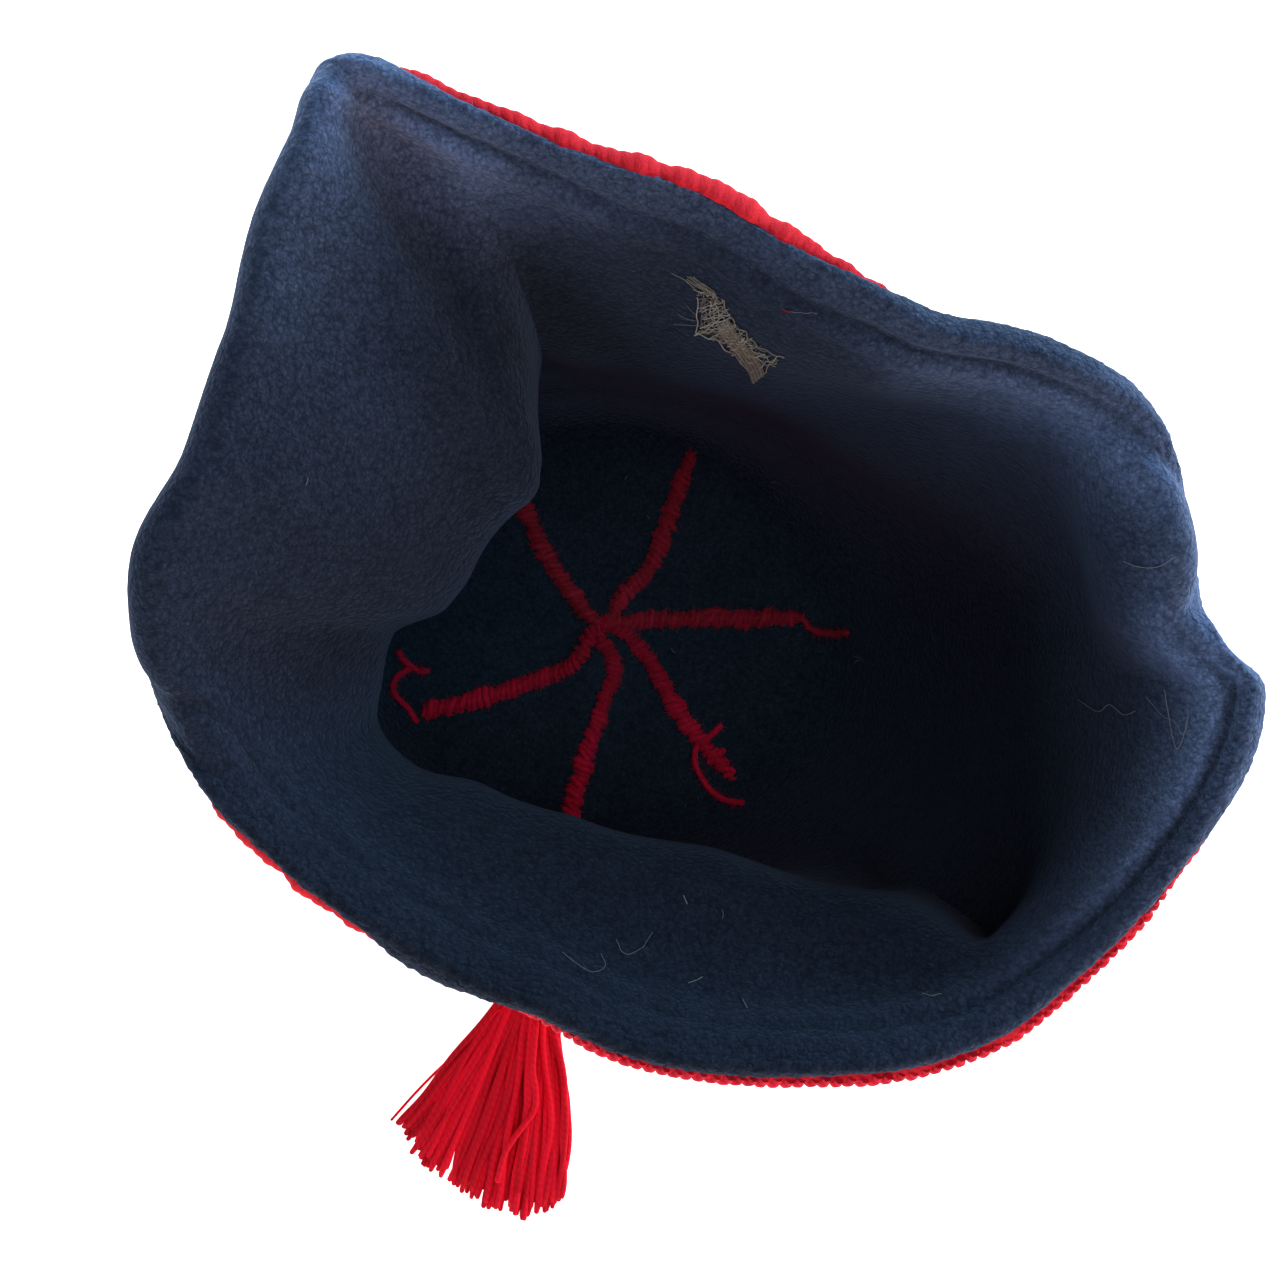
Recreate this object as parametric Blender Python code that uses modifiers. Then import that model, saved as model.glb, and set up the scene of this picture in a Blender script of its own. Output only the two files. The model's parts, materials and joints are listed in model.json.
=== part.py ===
"""Knit trapper hat with a fleece lining, resting on its crown with the opening up.

Metres, +Z up. The hat is modelled round the middle of its crown, direction 0 is +X and
directions turn towards +Y. At the end it is moved so that the middle of its box is the origin.
"""
import math

import bmesh
import bpy
import numpy as np
from mathutils import Matrix, Vector
from mathutils.bvhtree import BVHTree

# Driving sizes of the hat
RIM_RADIUS = 0.110
BODY_RADIUS = 0.080
CROWN_RADIUS = 0.052
HAT_HEIGHT = 0.165
KNIT_WALL = 0.0040
FLEECE_WALL = 0.0028
LAYER_GAP = 0.0003
HEM_BAND = 0.010
TURNED_EDGE = 0.024

# Driving sizes of the six seams sewn through the crown. The ends are shares of the full width and
# height, and the tapers shares of the length over which a seam fills out from its ends.
SEAM_LENGTH = 0.0555
SEAM_START = 0.0068
SEAM_WIDTH = 0.0054
SEAM_HEIGHT = 0.0030
SEAM_INNER_END = 0.55
SEAM_OUTER_END = 0.45
SEAM_INNER_TAPER = 0.20
SEAM_OUTER_TAPER = 0.14

# Driving sizes of the label stub
LABEL_LENGTH = 0.0300
LABEL_WIDTH = 0.0082
LABEL_WALL = 0.0009

# Driving sizes of the cord and the tassel, which lie on the floor beside the hat
CORD_DIAMETER = 0.0032
CORD_BED_HALF_WIDTH = 0.012
HEAD_DIAMETER = 0.0150
NECK_DIAMETER = 0.0100
SKIRT_LENGTH = 0.080
SKIRT_SPREAD = 0.054
SKIRT_LEAN = -2.5
LOCK_COUNT = 13
LOCK_DIAMETER = 0.0078
LOCK_LAYERS = 3
LAYER_RISE = 0.0009
LAYER_STAGGER = 0.0002
FLOOR_CLEARANCE = 0.0002

# The body of the hat: foot is a share of CROWN_RADIUS, the other "out" columns are shares of
# BODY_RADIUS, and "up" columns are shares of HAT_HEIGHT.
BODY_COLUMNS = ("direction", "foot", "belly_out", "belly_up", "waist_out", "waist_up")
BODY_ROWS = (
    (0, 1.04, 1.07, 0.27, 1.27, 0.51),
    (40, 1.00, 0.88, 0.27, 0.91, 0.53),
    (80, 0.98, 0.79, 0.25, 0.77, 0.50),
    (103, 0.98, 0.82, 0.25, 0.82, 0.52),
    (112, 0.97, 0.86, 0.25, 0.70, 0.52),
    (150, 0.97, 0.87, 0.24, 0.62, 0.51),
    (180, 0.98, 0.90, 0.24, 0.70, 0.50),
    (204, 0.98, 0.92, 0.25, 0.80, 0.46),
    (240, 0.98, 0.92, 0.25, 0.72, 0.47),
    (272, 0.99, 0.94, 0.25, 0.75, 0.47),
    (300, 1.00, 0.98, 0.26, 0.91, 0.48),
    (318, 1.02, 1.03, 0.27, 1.22, 0.51),
    (340, 1.04, 1.07, 0.27, 1.26, 0.51),
)

# The rim of the hat: "out" columns are shares of RIM_RADIUS and "up" columns of HAT_HEIGHT. The
# fold is where the wall is pushed in, the edge is the outline seen from above, and turned says
# how far the edge is turned outwards there, from 0, lying open, to 1, hanging down outside.
RIM_COLUMNS = ("direction", "fold_out", "fold_up", "edge_out", "edge_up", "turned")
RIM_ROWS = (
    (1, 1.02, 0.74, 1.13, 0.97, 0.30),
    (8, 1.00, 0.74, 1.12, 0.99, 0.55),
    (18, 0.94, 0.76, 1.09, 0.99, 0.15),
    (30, 0.82, 0.78, 0.98, 1.00, 0.00),
    (42, 0.71, 0.78, 0.84, 1.00, 0.00),
    (58, 0.61, 0.73, 0.78, 1.00, 0.00),
    (76, 0.57, 0.70, 0.81, 1.00, 0.00),
    (94, 0.57, 0.70, 0.87, 1.00, 0.00),
    (103, 0.61, 0.74, 0.96, 1.01, 0.00),
    (108, 0.49, 0.80, 1.04, 1.01, 0.00),
    (113, 0.35, 0.81, 1.11, 1.02, 0.10),
    (117, 0.31, 0.80, 1.12, 1.02, 0.45),
    (121, 0.30, 0.80, 1.04, 1.02, 0.75),
    (128, 0.30, 0.79, 0.96, 1.01, 0.90),
    (142, 0.30, 0.78, 0.83, 1.00, 1.00),
    (158, 0.30, 0.77, 0.79, 0.99, 1.00),
    (172, 0.33, 0.76, 0.84, 0.98, 0.95),
    (181, 0.45, 0.74, 0.85, 0.96, 0.75),
    (194, 0.50, 0.70, 0.82, 0.93, 0.30),
    (206, 0.55, 0.66, 0.79, 0.92, 0.05),
    (218, 0.53, 0.68, 0.75, 0.91, 0.00),
    (236, 0.45, 0.70, 0.71, 0.91, 0.00),
    (259, 0.44, 0.70, 0.74, 0.91, 0.00),
    (276, 0.48, 0.70, 0.83, 0.91, 0.00),
    (294, 0.55, 0.70, 0.95, 0.91, 0.00),
    (308, 0.73, 0.72, 1.07, 0.92, 0.00),
    (316, 0.86, 0.74, 1.11, 0.93, 0.00),
    (321, 1.05, 0.76, 1.13, 0.93, 0.00),
    (335, 1.03, 0.73, 1.19, 0.95, 0.00),
    (350, 1.03, 0.73, 1.25, 0.97, 0.00),
    (354, 1.03, 0.74, 1.25, 0.97, 0.05),
    (358, 1.03, 0.74, 1.18, 0.97, 0.15),
)

# The last stretch of the wall, from the edge seen from above, in shares of HEM_BAND: outwards
# and up to the lip and the roll while it lies open, and the same once it is turned outwards.
LIP_OPEN = (-1.05, -1.20)
ROLL_OPEN = (-0.50, -0.42)
LIP_TURNED = (-1.25, -0.15)
ROLL_TURNED = (-0.30, 0.25)

# The six seams: start and tip are directions, and length is a share of SEAM_LENGTH
SEAM_COLUMNS = ("start", "tip", "length")
SEAM_ROWS = (
    (57, 63, 0.97),
    (4, 2, 0.99),
    (-56, -50, 1.00),
    (-96, -100.5, 0.99),
    (-140, -154.4, 1.01),
    (128, 122, 0.99),
)

# Where the label stub is sewn to the wall: its direction and ring number, how far it leans, and
# its width in the middle as a share of its width at the ends. The flare says how late it widens.
LABEL_DIRECTION = 63.0
LABEL_RING = 4.52
LABEL_TILT = 27.0
LABEL_WAIST = 0.46
LABEL_FLARE = 1.6

# The cord's route from the middle of the crown to the top of the tassel's head: it lies on the
# floor and rises into the head
CORD_DIRECTION = 259.0
CORD_ROUTE = (
    (0.0000, 0.0000, 0.0018),
    (-0.0020, -0.0110, 0.0018),
    (-0.0038, -0.0225, 0.0018),
    (-0.0064, -0.0340, 0.0018),
    (-0.0092, -0.0450, 0.0018),
    (-0.0114, -0.0560, 0.0020),
    (-0.0132, -0.0665, 0.0040),
    (-0.0147, -0.0752, 0.0077),
)

# The locks of the tassel's skirt at shares of their length: thick is a share of LOCK_DIAMETER,
# swing is how far a lock has turned aside, as a share of its place in the spread, and rise is how
# high it still is between the floor and the neck.
LOCK_COLUMNS = ("along", "thick", "swing", "rise")
LOCK_ROWS = (
    (0.000, 0.62, 0.00, 1.00),
    (0.167, 0.70, 0.13, 0.69),
    (0.333, 0.78, 0.28, 0.44),
    (0.500, 0.84, 0.45, 0.25),
    (0.667, 0.87, 0.63, 0.11),
    (0.833, 0.83, 0.81, 0.03),
    (1.000, 0.70, 1.00, 0.00),
)

# The neck's place ahead of the head's middle as a share of HEAD_DIAMETER, the locks' roots as
# shares of NECK_DIAMETER, and how a lock's length changes with its place, as shares of
# SKIRT_LENGTH: at both sides, from one side to the other, and with its layer
NECK_AHEAD = 0.38
ROOT_SPREAD = 0.30
ROOT_LAYER = 0.14
SIDES_SHORTER = 0.20
ONE_SIDE_LONGER = 0.08
LAYER_SHORTER = 0.04

# Mesh density: rings along each stretch of the profile, from the middle of the crown to the hem
RING_STEPS = (4, 3, 3, 2, 4, 1, 2)
COLUMN_STEP = 6.5
SEAM_STATIONS = 9
SEAM_SIDES = 6
LABEL_STEPS = 3
ROUTE_STEPS = 12
HEAD_SIDES = 14
HEAD_RINGS = 9


def shares(columns, rows):
    """The table as one array for each named column."""
    return {name: np.array([row[i] for row in rows], float) for i, name in enumerate(columns)}


BODY = shares(BODY_COLUMNS, BODY_ROWS)
RIM = shares(RIM_COLUMNS, RIM_ROWS)


def around(table, column, direction):
    """A column of a table at any direction, by a smooth curve that never overshoots its rows."""
    angle = table["direction"]
    value = table[column]
    count = len(angle)
    span = np.diff(np.append(angle, angle[0] + 360.0))
    rise = np.diff(np.append(value, value[0])) / span
    before = np.roll(rise, 1)
    same_way = before * rise > 0
    product = np.where(same_way, 2.0 * before * rise, 0.0)
    slope = product / np.where(same_way, before + rise, 1.0)
    turn = (direction - angle[0]) % 360.0 + angle[0]
    row = min(int(np.searchsorted(angle, turn, side="right")) - 1, count - 1)
    following = (row + 1) % count
    s = (turn - angle[row]) / span[row]
    return (value[row] * (1 + 2 * s) * (1 - s) ** 2 + value[following] * s * s * (3 - 2 * s)
            + span[row] * (slope[row] * s * (1 - s) ** 2 - slope[following] * s * s * (1 - s)))


def section(direction):
    """The wall's corner points at one direction, outwards and up, from crown middle to hem."""
    def body(column):
        return around(BODY, column, direction)

    def rim(column):
        return around(RIM, column, direction)

    edge = np.array((rim("edge_out") * RIM_RADIUS, rim("edge_up") * HAT_HEIGHT))
    turned = rim("turned")
    lip = (1 - turned) * np.array(LIP_OPEN) + turned * np.array(LIP_TURNED)
    roll = (1 - turned) * np.array(ROLL_OPEN) + turned * np.array(ROLL_TURNED)
    hem = turned * np.array((0.0, -TURNED_EDGE))
    return np.array((
        (0.0, KNIT_WALL),
        (body("foot") * CROWN_RADIUS, KNIT_WALL),
        (body("belly_out") * BODY_RADIUS, body("belly_up") * HAT_HEIGHT),
        (body("waist_out") * BODY_RADIUS, body("waist_up") * HAT_HEIGHT),
        (rim("fold_out") * RIM_RADIUS, rim("fold_up") * HAT_HEIGHT),
        edge + lip * HEM_BAND,
        edge + roll * HEM_BAND,
        edge + hem,
    ))


def slopes(points):
    """Tangents of a smooth curve through the corner points. It leaves the foot level."""
    chord = np.linalg.norm(np.diff(points, axis=0), axis=1)
    unit = np.diff(points, axis=0) / chord[:, None]
    tangent = np.empty_like(points)
    tangent[0] = unit[0]
    tangent[-1] = unit[-1]
    weight = (chord[1:] / (chord[1:] + chord[:-1]))[:, None]
    tangent[1:-1] = unit[:-1] * weight + unit[1:] * (1 - weight)
    tangent[1] = unit[0]
    return tangent, chord


def profile(direction, ring):
    """The wall's point, outwards and up, at a ring number: 0 crown middle, 1 foot ... 7 hem."""
    points = section(direction)
    tangent, chord = slopes(points)
    i = min(int(ring), len(points) - 2)
    s = ring - i
    return (points[i] * (1 + 2 * s) * (1 - s) ** 2 + points[i + 1] * s * s * (3 - 2 * s)
            + chord[i] * (tangent[i] * s * (1 - s) ** 2 - tangent[i + 1] * s * s * (1 - s)))


def cord_lift(x, y):
    """How far the crown is raised by the cord that lies under it."""
    way = math.radians(CORD_DIRECTION)
    along = x * math.cos(way) + y * math.sin(way)
    across = abs(y * math.cos(way) - x * math.sin(way))
    ramp = min(max((along + CORD_BED_HALF_WIDTH) / CORD_BED_HALF_WIDTH, 0.0), 1.0)
    bed = min(across / CORD_BED_HALF_WIDTH, 1.0)
    height = FLOOR_CLEARANCE + CORD_DIAMETER + 2 * LAYER_GAP
    return height * ramp * ramp * (3 - 2 * ramp) * 0.5 * (1 + math.cos(math.pi * bed))


def skin_point(direction, ring):
    """A point of the surface between the knit and the fleece."""
    out, up = profile(direction, ring)
    x = out * math.cos(math.radians(direction))
    y = out * math.sin(math.radians(direction))
    fade = max(0.0, 1.0 - max(0.0, up - KNIT_WALL) / (2.5 * KNIT_WALL))
    return Vector((x, y, up + fade * cord_lift(x, y)))


def skin_normal(direction, ring, step=0.02):
    """The direction into the hat at a point of the wall."""
    along = skin_point(direction, ring + step) - skin_point(direction, ring - step)
    around_wall = skin_point(direction + 50 * step, ring) - skin_point(direction - 50 * step, ring)
    return around_wall.cross(along).normalized() * -1.0


def rings():
    """Ring numbers of the mesh, from the first ring round the crown's middle to the hem."""
    numbers = []
    for stretch, steps in enumerate(RING_STEPS):
        numbers += [stretch + (k + 1) / steps for k in range(steps)]
    numbers[0] = 0.5 * numbers[0]
    return numbers


def columns():
    """Directions of the mesh's columns: the rim's rows, and even steps between them."""
    angles = RIM["direction"]
    result = []
    for first, second in zip(angles, np.append(angles[1:], angles[0] + 360.0)):
        steps = max(1, round((second - first) / COLUMN_STEP))
        result += [first + (second - first) * k / steps for k in range(steps)]
    return result


def material(name, colour, roughness, metallic=0.0):
    made = bpy.data.materials.new(name)
    made.use_nodes = True
    shader = made.node_tree.nodes["Principled BSDF"]
    shader.inputs["Base Color"].default_value = (*colour, 1.0)
    shader.inputs["Roughness"].default_value = roughness
    shader.inputs["Metallic"].default_value = metallic
    return made


def add_part(name, mesh, finish, home):
    made = bpy.data.objects.new(name, mesh)
    mesh.materials.append(finish)
    mesh.shade_smooth()
    home.objects.link(made)
    return made


def loft(name, sections, close_ring=True, caps=True):
    """A mesh through sections of the same number of points, each a closed ring or an open row."""
    shape = bmesh.new()
    rows = [[shape.verts.new(point) for point in row] for row in sections]
    count = len(rows[0])
    for row, following in zip(rows, rows[1:]):
        for k in range(count if close_ring else count - 1):
            n = (k + 1) % count
            shape.faces.new((row[k], row[n], following[n], following[k]))
    if caps:
        shape.faces.new(rows[0][::-1])
        shape.faces.new(rows[-1])
    bmesh.ops.recalc_face_normals(shape, faces=shape.faces)
    mesh = bpy.data.meshes.new(name)
    shape.to_mesh(mesh)
    shape.free()
    return mesh


def wall_surface(name):
    """The open surface of the whole hat, its faces pointing outwards, closed at the crown."""
    shape = bmesh.new()
    middle = shape.verts.new(skin_point(CORD_DIRECTION, 0.0))
    angles = columns()
    rows = [[shape.verts.new(skin_point(angle, ring)) for angle in angles] for ring in rings()]
    count = len(angles)
    for k in range(count):
        n = (k + 1) % count
        shape.faces.new((middle, rows[0][n], rows[0][k]))
        for row, following in zip(rows, rows[1:]):
            shape.faces.new((row[k], row[n], following[n], following[k]))
    mesh = bpy.data.meshes.new(name)
    shape.to_mesh(mesh)
    shape.free()
    return mesh


def solidify(part, thickness, offset):
    wall = part.modifiers.new("Wall", "SOLIDIFY")
    wall.thickness = thickness
    wall.offset = offset
    wall.use_even_offset = False


def knit_shell(home, knit):
    shell = add_part("knit_shell", wall_surface("knit_shell"), knit, home)
    solidify(shell, KNIT_WALL, 1.0)
    return shell


def fleece_lining(home, fleece):
    lining = add_part("fleece_lining", wall_surface("fleece_lining"), fleece, home)
    solidify(lining, FLEECE_WALL, -1.0 - 2.0 * LAYER_GAP / FLEECE_WALL)
    return lining


def floor_point(direction, out, side=0.0):
    """A spot on the crown, seen from above, at a distance from its middle and to one side."""
    way = math.radians(direction)
    return Vector((out * math.cos(way) - side * math.sin(way),
                   out * math.sin(way) + side * math.cos(way), 0.0))


def height_under(lining_faces, spots):
    """The highest point of the lining's upper face below some spots, seen from above."""
    hits = [lining_faces.ray_cast(spot + Vector((0.0, 0.0, 0.25 * HAT_HEIGHT)), Vector((0, 0, -1)))
            for spot in spots]
    return max(hit[0].z for hit in hits)


def crown_seam(home, yarn, lining_faces, number, start, tip, length):
    """One seam: a half-round ridge of overcast yarn that lies on the lining of the crown."""
    reach = length * SEAM_LENGTH - SEAM_START
    sections = []
    for k in range(SEAM_STATIONS):
        s = k / (SEAM_STATIONS - 1)
        direction = start + (tip - start) * s ** 0.5
        out = SEAM_START + s * reach
        full = min(1.0, SEAM_INNER_END + (1 - SEAM_INNER_END) * s / SEAM_INNER_TAPER,
                   SEAM_OUTER_END + (1 - SEAM_OUTER_END) * (1 - s) / SEAM_OUTER_TAPER)
        half = 0.5 * SEAM_WIDTH * full
        step = 0.5 * reach / (SEAM_STATIONS - 1)
        under = [floor_point(direction, out + along, side)
                 for along in (-step, 0.0, step) for side in (-half, 0.0, half)]
        base = height_under(lining_faces, under) + LAYER_GAP
        row = []
        for turn in np.linspace(0.0, math.pi, SEAM_SIDES):
            point = floor_point(direction, out, half * math.cos(turn))
            point.z = base + SEAM_HEIGHT * full * math.sin(turn)
            row.append(point)
        sections.append(row)
    name = f"crown_seam_{number}"
    return add_part(name, loft(name, sections), yarn, home)


def label_stub(home, tape, lining_faces):
    """What is left of a sewn-in label: a tape that follows the wall, waisted in its middle."""
    middle = skin_point(LABEL_DIRECTION, LABEL_RING)
    normal = skin_normal(LABEL_DIRECTION, LABEL_RING)
    up_wall = skin_point(LABEL_DIRECTION, LABEL_RING + 0.1) - middle
    up_wall = (up_wall - up_wall.dot(normal) * normal).normalized()
    along = Matrix.Rotation(math.radians(LABEL_TILT), 3, normal) @ up_wall
    across = normal.cross(along)
    rows = []
    for s in np.linspace(-1.0, 1.0, 2 * LABEL_STEPS + 1):
        width = LABEL_WIDTH * (LABEL_WAIST + (1 - LABEL_WAIST) * abs(s) ** LABEL_FLARE)
        row = []
        for w in (-0.5, 0.0, 0.5):
            above = middle + along * 0.5 * s * LABEL_LENGTH + across * w * width + normal * LABEL_LENGTH
            hit = lining_faces.ray_cast(above, -normal)[0]
            row.append(hit + normal * (2 * LAYER_GAP + 0.5 * LABEL_WALL))
        rows.append(row)
    stub = add_part("label_stub", loft("label_stub", rows, close_ring=False, caps=False), tape, home)
    solidify(stub, LABEL_WALL, 0.0)
    return stub


def smooth_route(points, spacing):
    """Even points on a smooth curve through the route's own points."""
    points = [Vector(point) for point in points]
    ends = [2 * points[0] - points[1]] + points + [2 * points[-1] - points[-2]]
    fine = []
    for a, b, c, d in zip(ends, ends[1:], ends[2:], ends[3:]):
        for k in range(ROUTE_STEPS):
            s = k / ROUTE_STEPS
            fine.append(0.5 * ((2 * b) + (c - a) * s + (2 * a - 5 * b + 4 * c - d) * s * s
                               + (3 * b - a - 3 * c + d) * s ** 3))
    fine.append(points[-1])
    lengths = [0.0]
    for first, second in zip(fine, fine[1:]):
        lengths.append(lengths[-1] + (second - first).length)
    count = max(2, round(lengths[-1] / spacing))
    wanted = np.linspace(0.0, lengths[-1], count + 1)
    return [Vector([np.interp(w, lengths, [p[i] for p in fine]) for i in range(3)]) for w in wanted]


def tube(name, points, radii, bevel_resolution):
    """A round curve through the points, with its own radius at each."""
    curve = bpy.data.curves.new(name, "CURVE")
    curve.dimensions = "3D"
    curve.bevel_depth = 1.0
    curve.bevel_resolution = bevel_resolution
    curve.use_fill_caps = True
    line = curve.splines.new("POLY")
    line.points.add(len(points) - 1)
    for spot, point, radius in zip(line.points, points, radii):
        spot.co = (*point, 1.0)
        spot.radius = radius
    return curve


def tassel_cord(home, yarn):
    points = smooth_route(CORD_ROUTE, 2.4 * CORD_DIAMETER)
    curve = tube("tassel_cord", points, [0.5 * CORD_DIAMETER] * len(points), 2)
    cord = bpy.data.objects.new("tassel_cord", curve)
    curve.materials.append(yarn)
    home.objects.link(cord)
    return cord


def mesh_from_curve(name, curve, home):
    """The curve as a mesh object of its own, its caps welded to its sides."""
    holder = bpy.data.objects.new(name, curve)
    home.objects.link(holder)
    made = bpy.data.meshes.new_from_object(
        holder.evaluated_get(bpy.context.evaluated_depsgraph_get()))
    shape = bmesh.new()
    shape.from_mesh(made)
    bmesh.ops.remove_doubles(shape, verts=shape.verts, dist=1e-6)
    bmesh.ops.recalc_face_normals(shape, faces=shape.faces)
    shape.to_mesh(made)
    shape.free()
    bpy.data.objects.remove(holder)
    result = bpy.data.objects.new(name, made)
    home.objects.link(result)
    return result


def tassel(home, cutters, yarn):
    """A round head with the skirt's locks joined to it, all lying on the floor."""
    way = math.radians(CORD_DIRECTION)
    ahead = Vector((math.cos(way), math.sin(way), 0.0))
    side = Vector((-math.sin(way), math.cos(way), 0.0))
    lean = Matrix.Rotation(math.radians(SKIRT_LEAN), 3, "Z")
    middle = Vector(CORD_ROUTE[-1]) + ahead * (0.5 * HEAD_DIAMETER + LAYER_GAP)
    middle.z = 0.5 * HEAD_DIAMETER + FLOOR_CLEARANCE
    neck = middle + ahead * NECK_AHEAD * HEAD_DIAMETER
    neck.z = 0.5 * NECK_DIAMETER + FLOOR_CLEARANCE
    shape = bmesh.new()
    bmesh.ops.create_uvsphere(shape, u_segments=HEAD_SIDES, v_segments=HEAD_RINGS,
                              radius=0.5 * HEAD_DIAMETER)
    mesh = bpy.data.meshes.new("tassel")
    shape.to_mesh(mesh)
    shape.free()
    head = add_part("tassel", mesh, yarn, home)
    head.location = middle
    bpy.context.view_layer.update()
    for k in range(LOCK_COUNT):
        spread = 2 * k / (LOCK_COUNT - 1) - 1
        layer = k % LOCK_LAYERS
        length = SKIRT_LENGTH * (1.0 - SIDES_SHORTER * spread ** 2 + ONE_SIDE_LONGER * spread
                                 - LAYER_SHORTER * layer)
        points = []
        radii = []
        for row in LOCK_ROWS:
            lock = dict(zip(LOCK_COLUMNS, row))
            s = lock["along"]
            swing = 0.5 * (SKIRT_SPREAD - LOCK_DIAMETER) * spread * lock["swing"]
            root = ROOT_SPREAD * NECK_DIAMETER * spread * (1 - s)
            radius = 0.5 * LOCK_DIAMETER * lock["thick"]
            low = radius + FLOOR_CLEARANCE + LAYER_STAGGER * (k % (LOCK_LAYERS + 1))
            high = neck.z + ROOT_LAYER * NECK_DIAMETER * (layer - 1)
            point = neck + lean @ (ahead * length * s + side * (swing + root))
            point.z = low + (max(high, low) - low) * lock["rise"] + LAYER_RISE * layer * s * (1 - s)
            points.append(point)
            radii.append(radius)
        body = mesh_from_curve(f"lock_{k + 1}", tube("lock", points, radii, 1), cutters)
        body.hide_render = True
        body.display_type = "WIRE"
    join = head.modifiers.new("Locks", "BOOLEAN")
    join.operation = "UNION"
    join.solver = "EXACT"
    join.operand_type = "COLLECTION"
    join.collection = cutters
    return head


def centre_on_origin(hat_parts, all_parts):
    """Move everything so that the middle of the hat's box, seen from above, is the origin."""
    bpy.context.view_layer.update()
    view = bpy.context.evaluated_depsgraph_get()
    corners = [Vector(corner) for part in hat_parts for corner in part.evaluated_get(view).bound_box]
    shift = Vector((-0.5 * (min(c.x for c in corners) + max(c.x for c in corners)),
                    -0.5 * (min(c.y for c in corners) + max(c.y for c in corners)), 0.0))
    for part in all_parts:
        part.location += shift


def main():
    for old in list(bpy.data.objects):
        bpy.data.objects.remove(old)
    home = bpy.data.collections.new("Knit trapper hat")
    cutters = bpy.data.collections.new("Locks of the tassel")
    bpy.context.scene.collection.children.link(home)
    bpy.context.scene.collection.children.link(cutters)
    knit = material("Red knit", (0.60, 0.012, 0.022), 0.90)
    fleece = material("Navy fleece", (0.013, 0.025, 0.065), 0.95)
    yarn = material("Red yarn", (0.52, 0.006, 0.020), 0.85)
    tape = material("Beige label tape", (0.42, 0.36, 0.29), 0.85)
    lining = fleece_lining(home, fleece)
    bpy.context.view_layer.update()
    lining_faces = BVHTree.FromObject(lining, bpy.context.evaluated_depsgraph_get())
    hat = [knit_shell(home, knit), lining, label_stub(home, tape, lining_faces)]
    for number, row in enumerate(SEAM_ROWS, start=1):
        seam = dict(zip(SEAM_COLUMNS, row))
        hat.append(crown_seam(home, yarn, lining_faces, number, **seam))
    loose = [tassel_cord(home, yarn), tassel(home, cutters, yarn)]
    centre_on_origin(hat, hat + loose + list(cutters.objects))


main()
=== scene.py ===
"""A soft red knit hat with a navy fleece lining, set down on its crown with the opening up.

Lengths are metres and angles degrees. Directions go round the middle of the crown, 0 is +X.
"""
import json
import math

import bpy
import numpy as np
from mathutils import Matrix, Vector
from mathutils.bvhtree import BVHTree


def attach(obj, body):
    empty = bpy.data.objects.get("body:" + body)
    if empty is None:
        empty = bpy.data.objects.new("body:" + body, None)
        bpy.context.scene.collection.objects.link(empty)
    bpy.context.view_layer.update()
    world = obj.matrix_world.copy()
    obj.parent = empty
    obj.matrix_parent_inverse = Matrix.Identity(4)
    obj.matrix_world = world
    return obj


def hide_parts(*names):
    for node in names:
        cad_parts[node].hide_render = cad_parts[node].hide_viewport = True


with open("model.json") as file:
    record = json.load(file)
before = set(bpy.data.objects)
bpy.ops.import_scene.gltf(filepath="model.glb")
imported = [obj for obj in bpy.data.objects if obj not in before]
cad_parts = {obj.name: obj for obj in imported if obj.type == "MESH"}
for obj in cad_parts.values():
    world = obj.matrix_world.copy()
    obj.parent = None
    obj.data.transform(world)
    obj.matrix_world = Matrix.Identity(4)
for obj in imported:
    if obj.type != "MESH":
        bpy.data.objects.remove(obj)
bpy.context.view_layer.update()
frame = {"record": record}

# Every piece is placed from the middle of the crown, in front of the spot that the hat rests on.
REST_TO_CROWN = np.array((0.0, -0.025, 0.0))
CROWN = np.array(frame["record"]["mounts"][0]["pos_m"]) + REST_TO_CROWN

# The camera looks straight down into the opening.
CAMERA_HEIGHT = 0.584
CAMERA_ASIDE = (0.00976, -0.00418)
LENS = 58.22


def placed(name, data):
    """A new object in the scene."""
    made = bpy.data.objects.new(name, data)
    bpy.context.scene.collection.objects.link(made)
    return made


camera_data = bpy.data.cameras.new("Camera")
camera_data.sensor_width = 36.0
camera_data.lens = LENS
camera_data.clip_start = 0.01
camera = placed("Camera", camera_data)
camera.location = (CROWN[0] + CAMERA_ASIDE[0], CROWN[1] + CAMERA_ASIDE[1], CAMERA_HEIGHT)
bpy.context.scene.camera = camera


# Tassel cord: three plies of red yarn laid round one another, sewn to the middle of the crown
# inside its bed and led out under the hat to the head of the tassel. It lies on the floor.
CORD_DIAMETER = 0.0032
CORD_PLIES = 3
CORD_LAY = 0.0105
CORD_STEP = 0.0011
YARN_LAY = 0.0042
CORD_ROUTE = (
    (0.0000, 0.0000, 0.0018),
    (-0.0020, -0.0110, 0.0018),
    (-0.0038, -0.0225, 0.0018),
    (-0.0064, -0.0340, 0.0018),
    (-0.0092, -0.0450, 0.0018),
    (-0.0114, -0.0560, 0.0020),
    (-0.0132, -0.0665, 0.0040),
    (-0.0147, -0.0752, 0.0077),
)


def run_along(line):
    """How far each point of a line is from its start."""
    return np.append(0.0, np.cumsum(np.linalg.norm(np.diff(line, axis=0), axis=1)))


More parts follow.
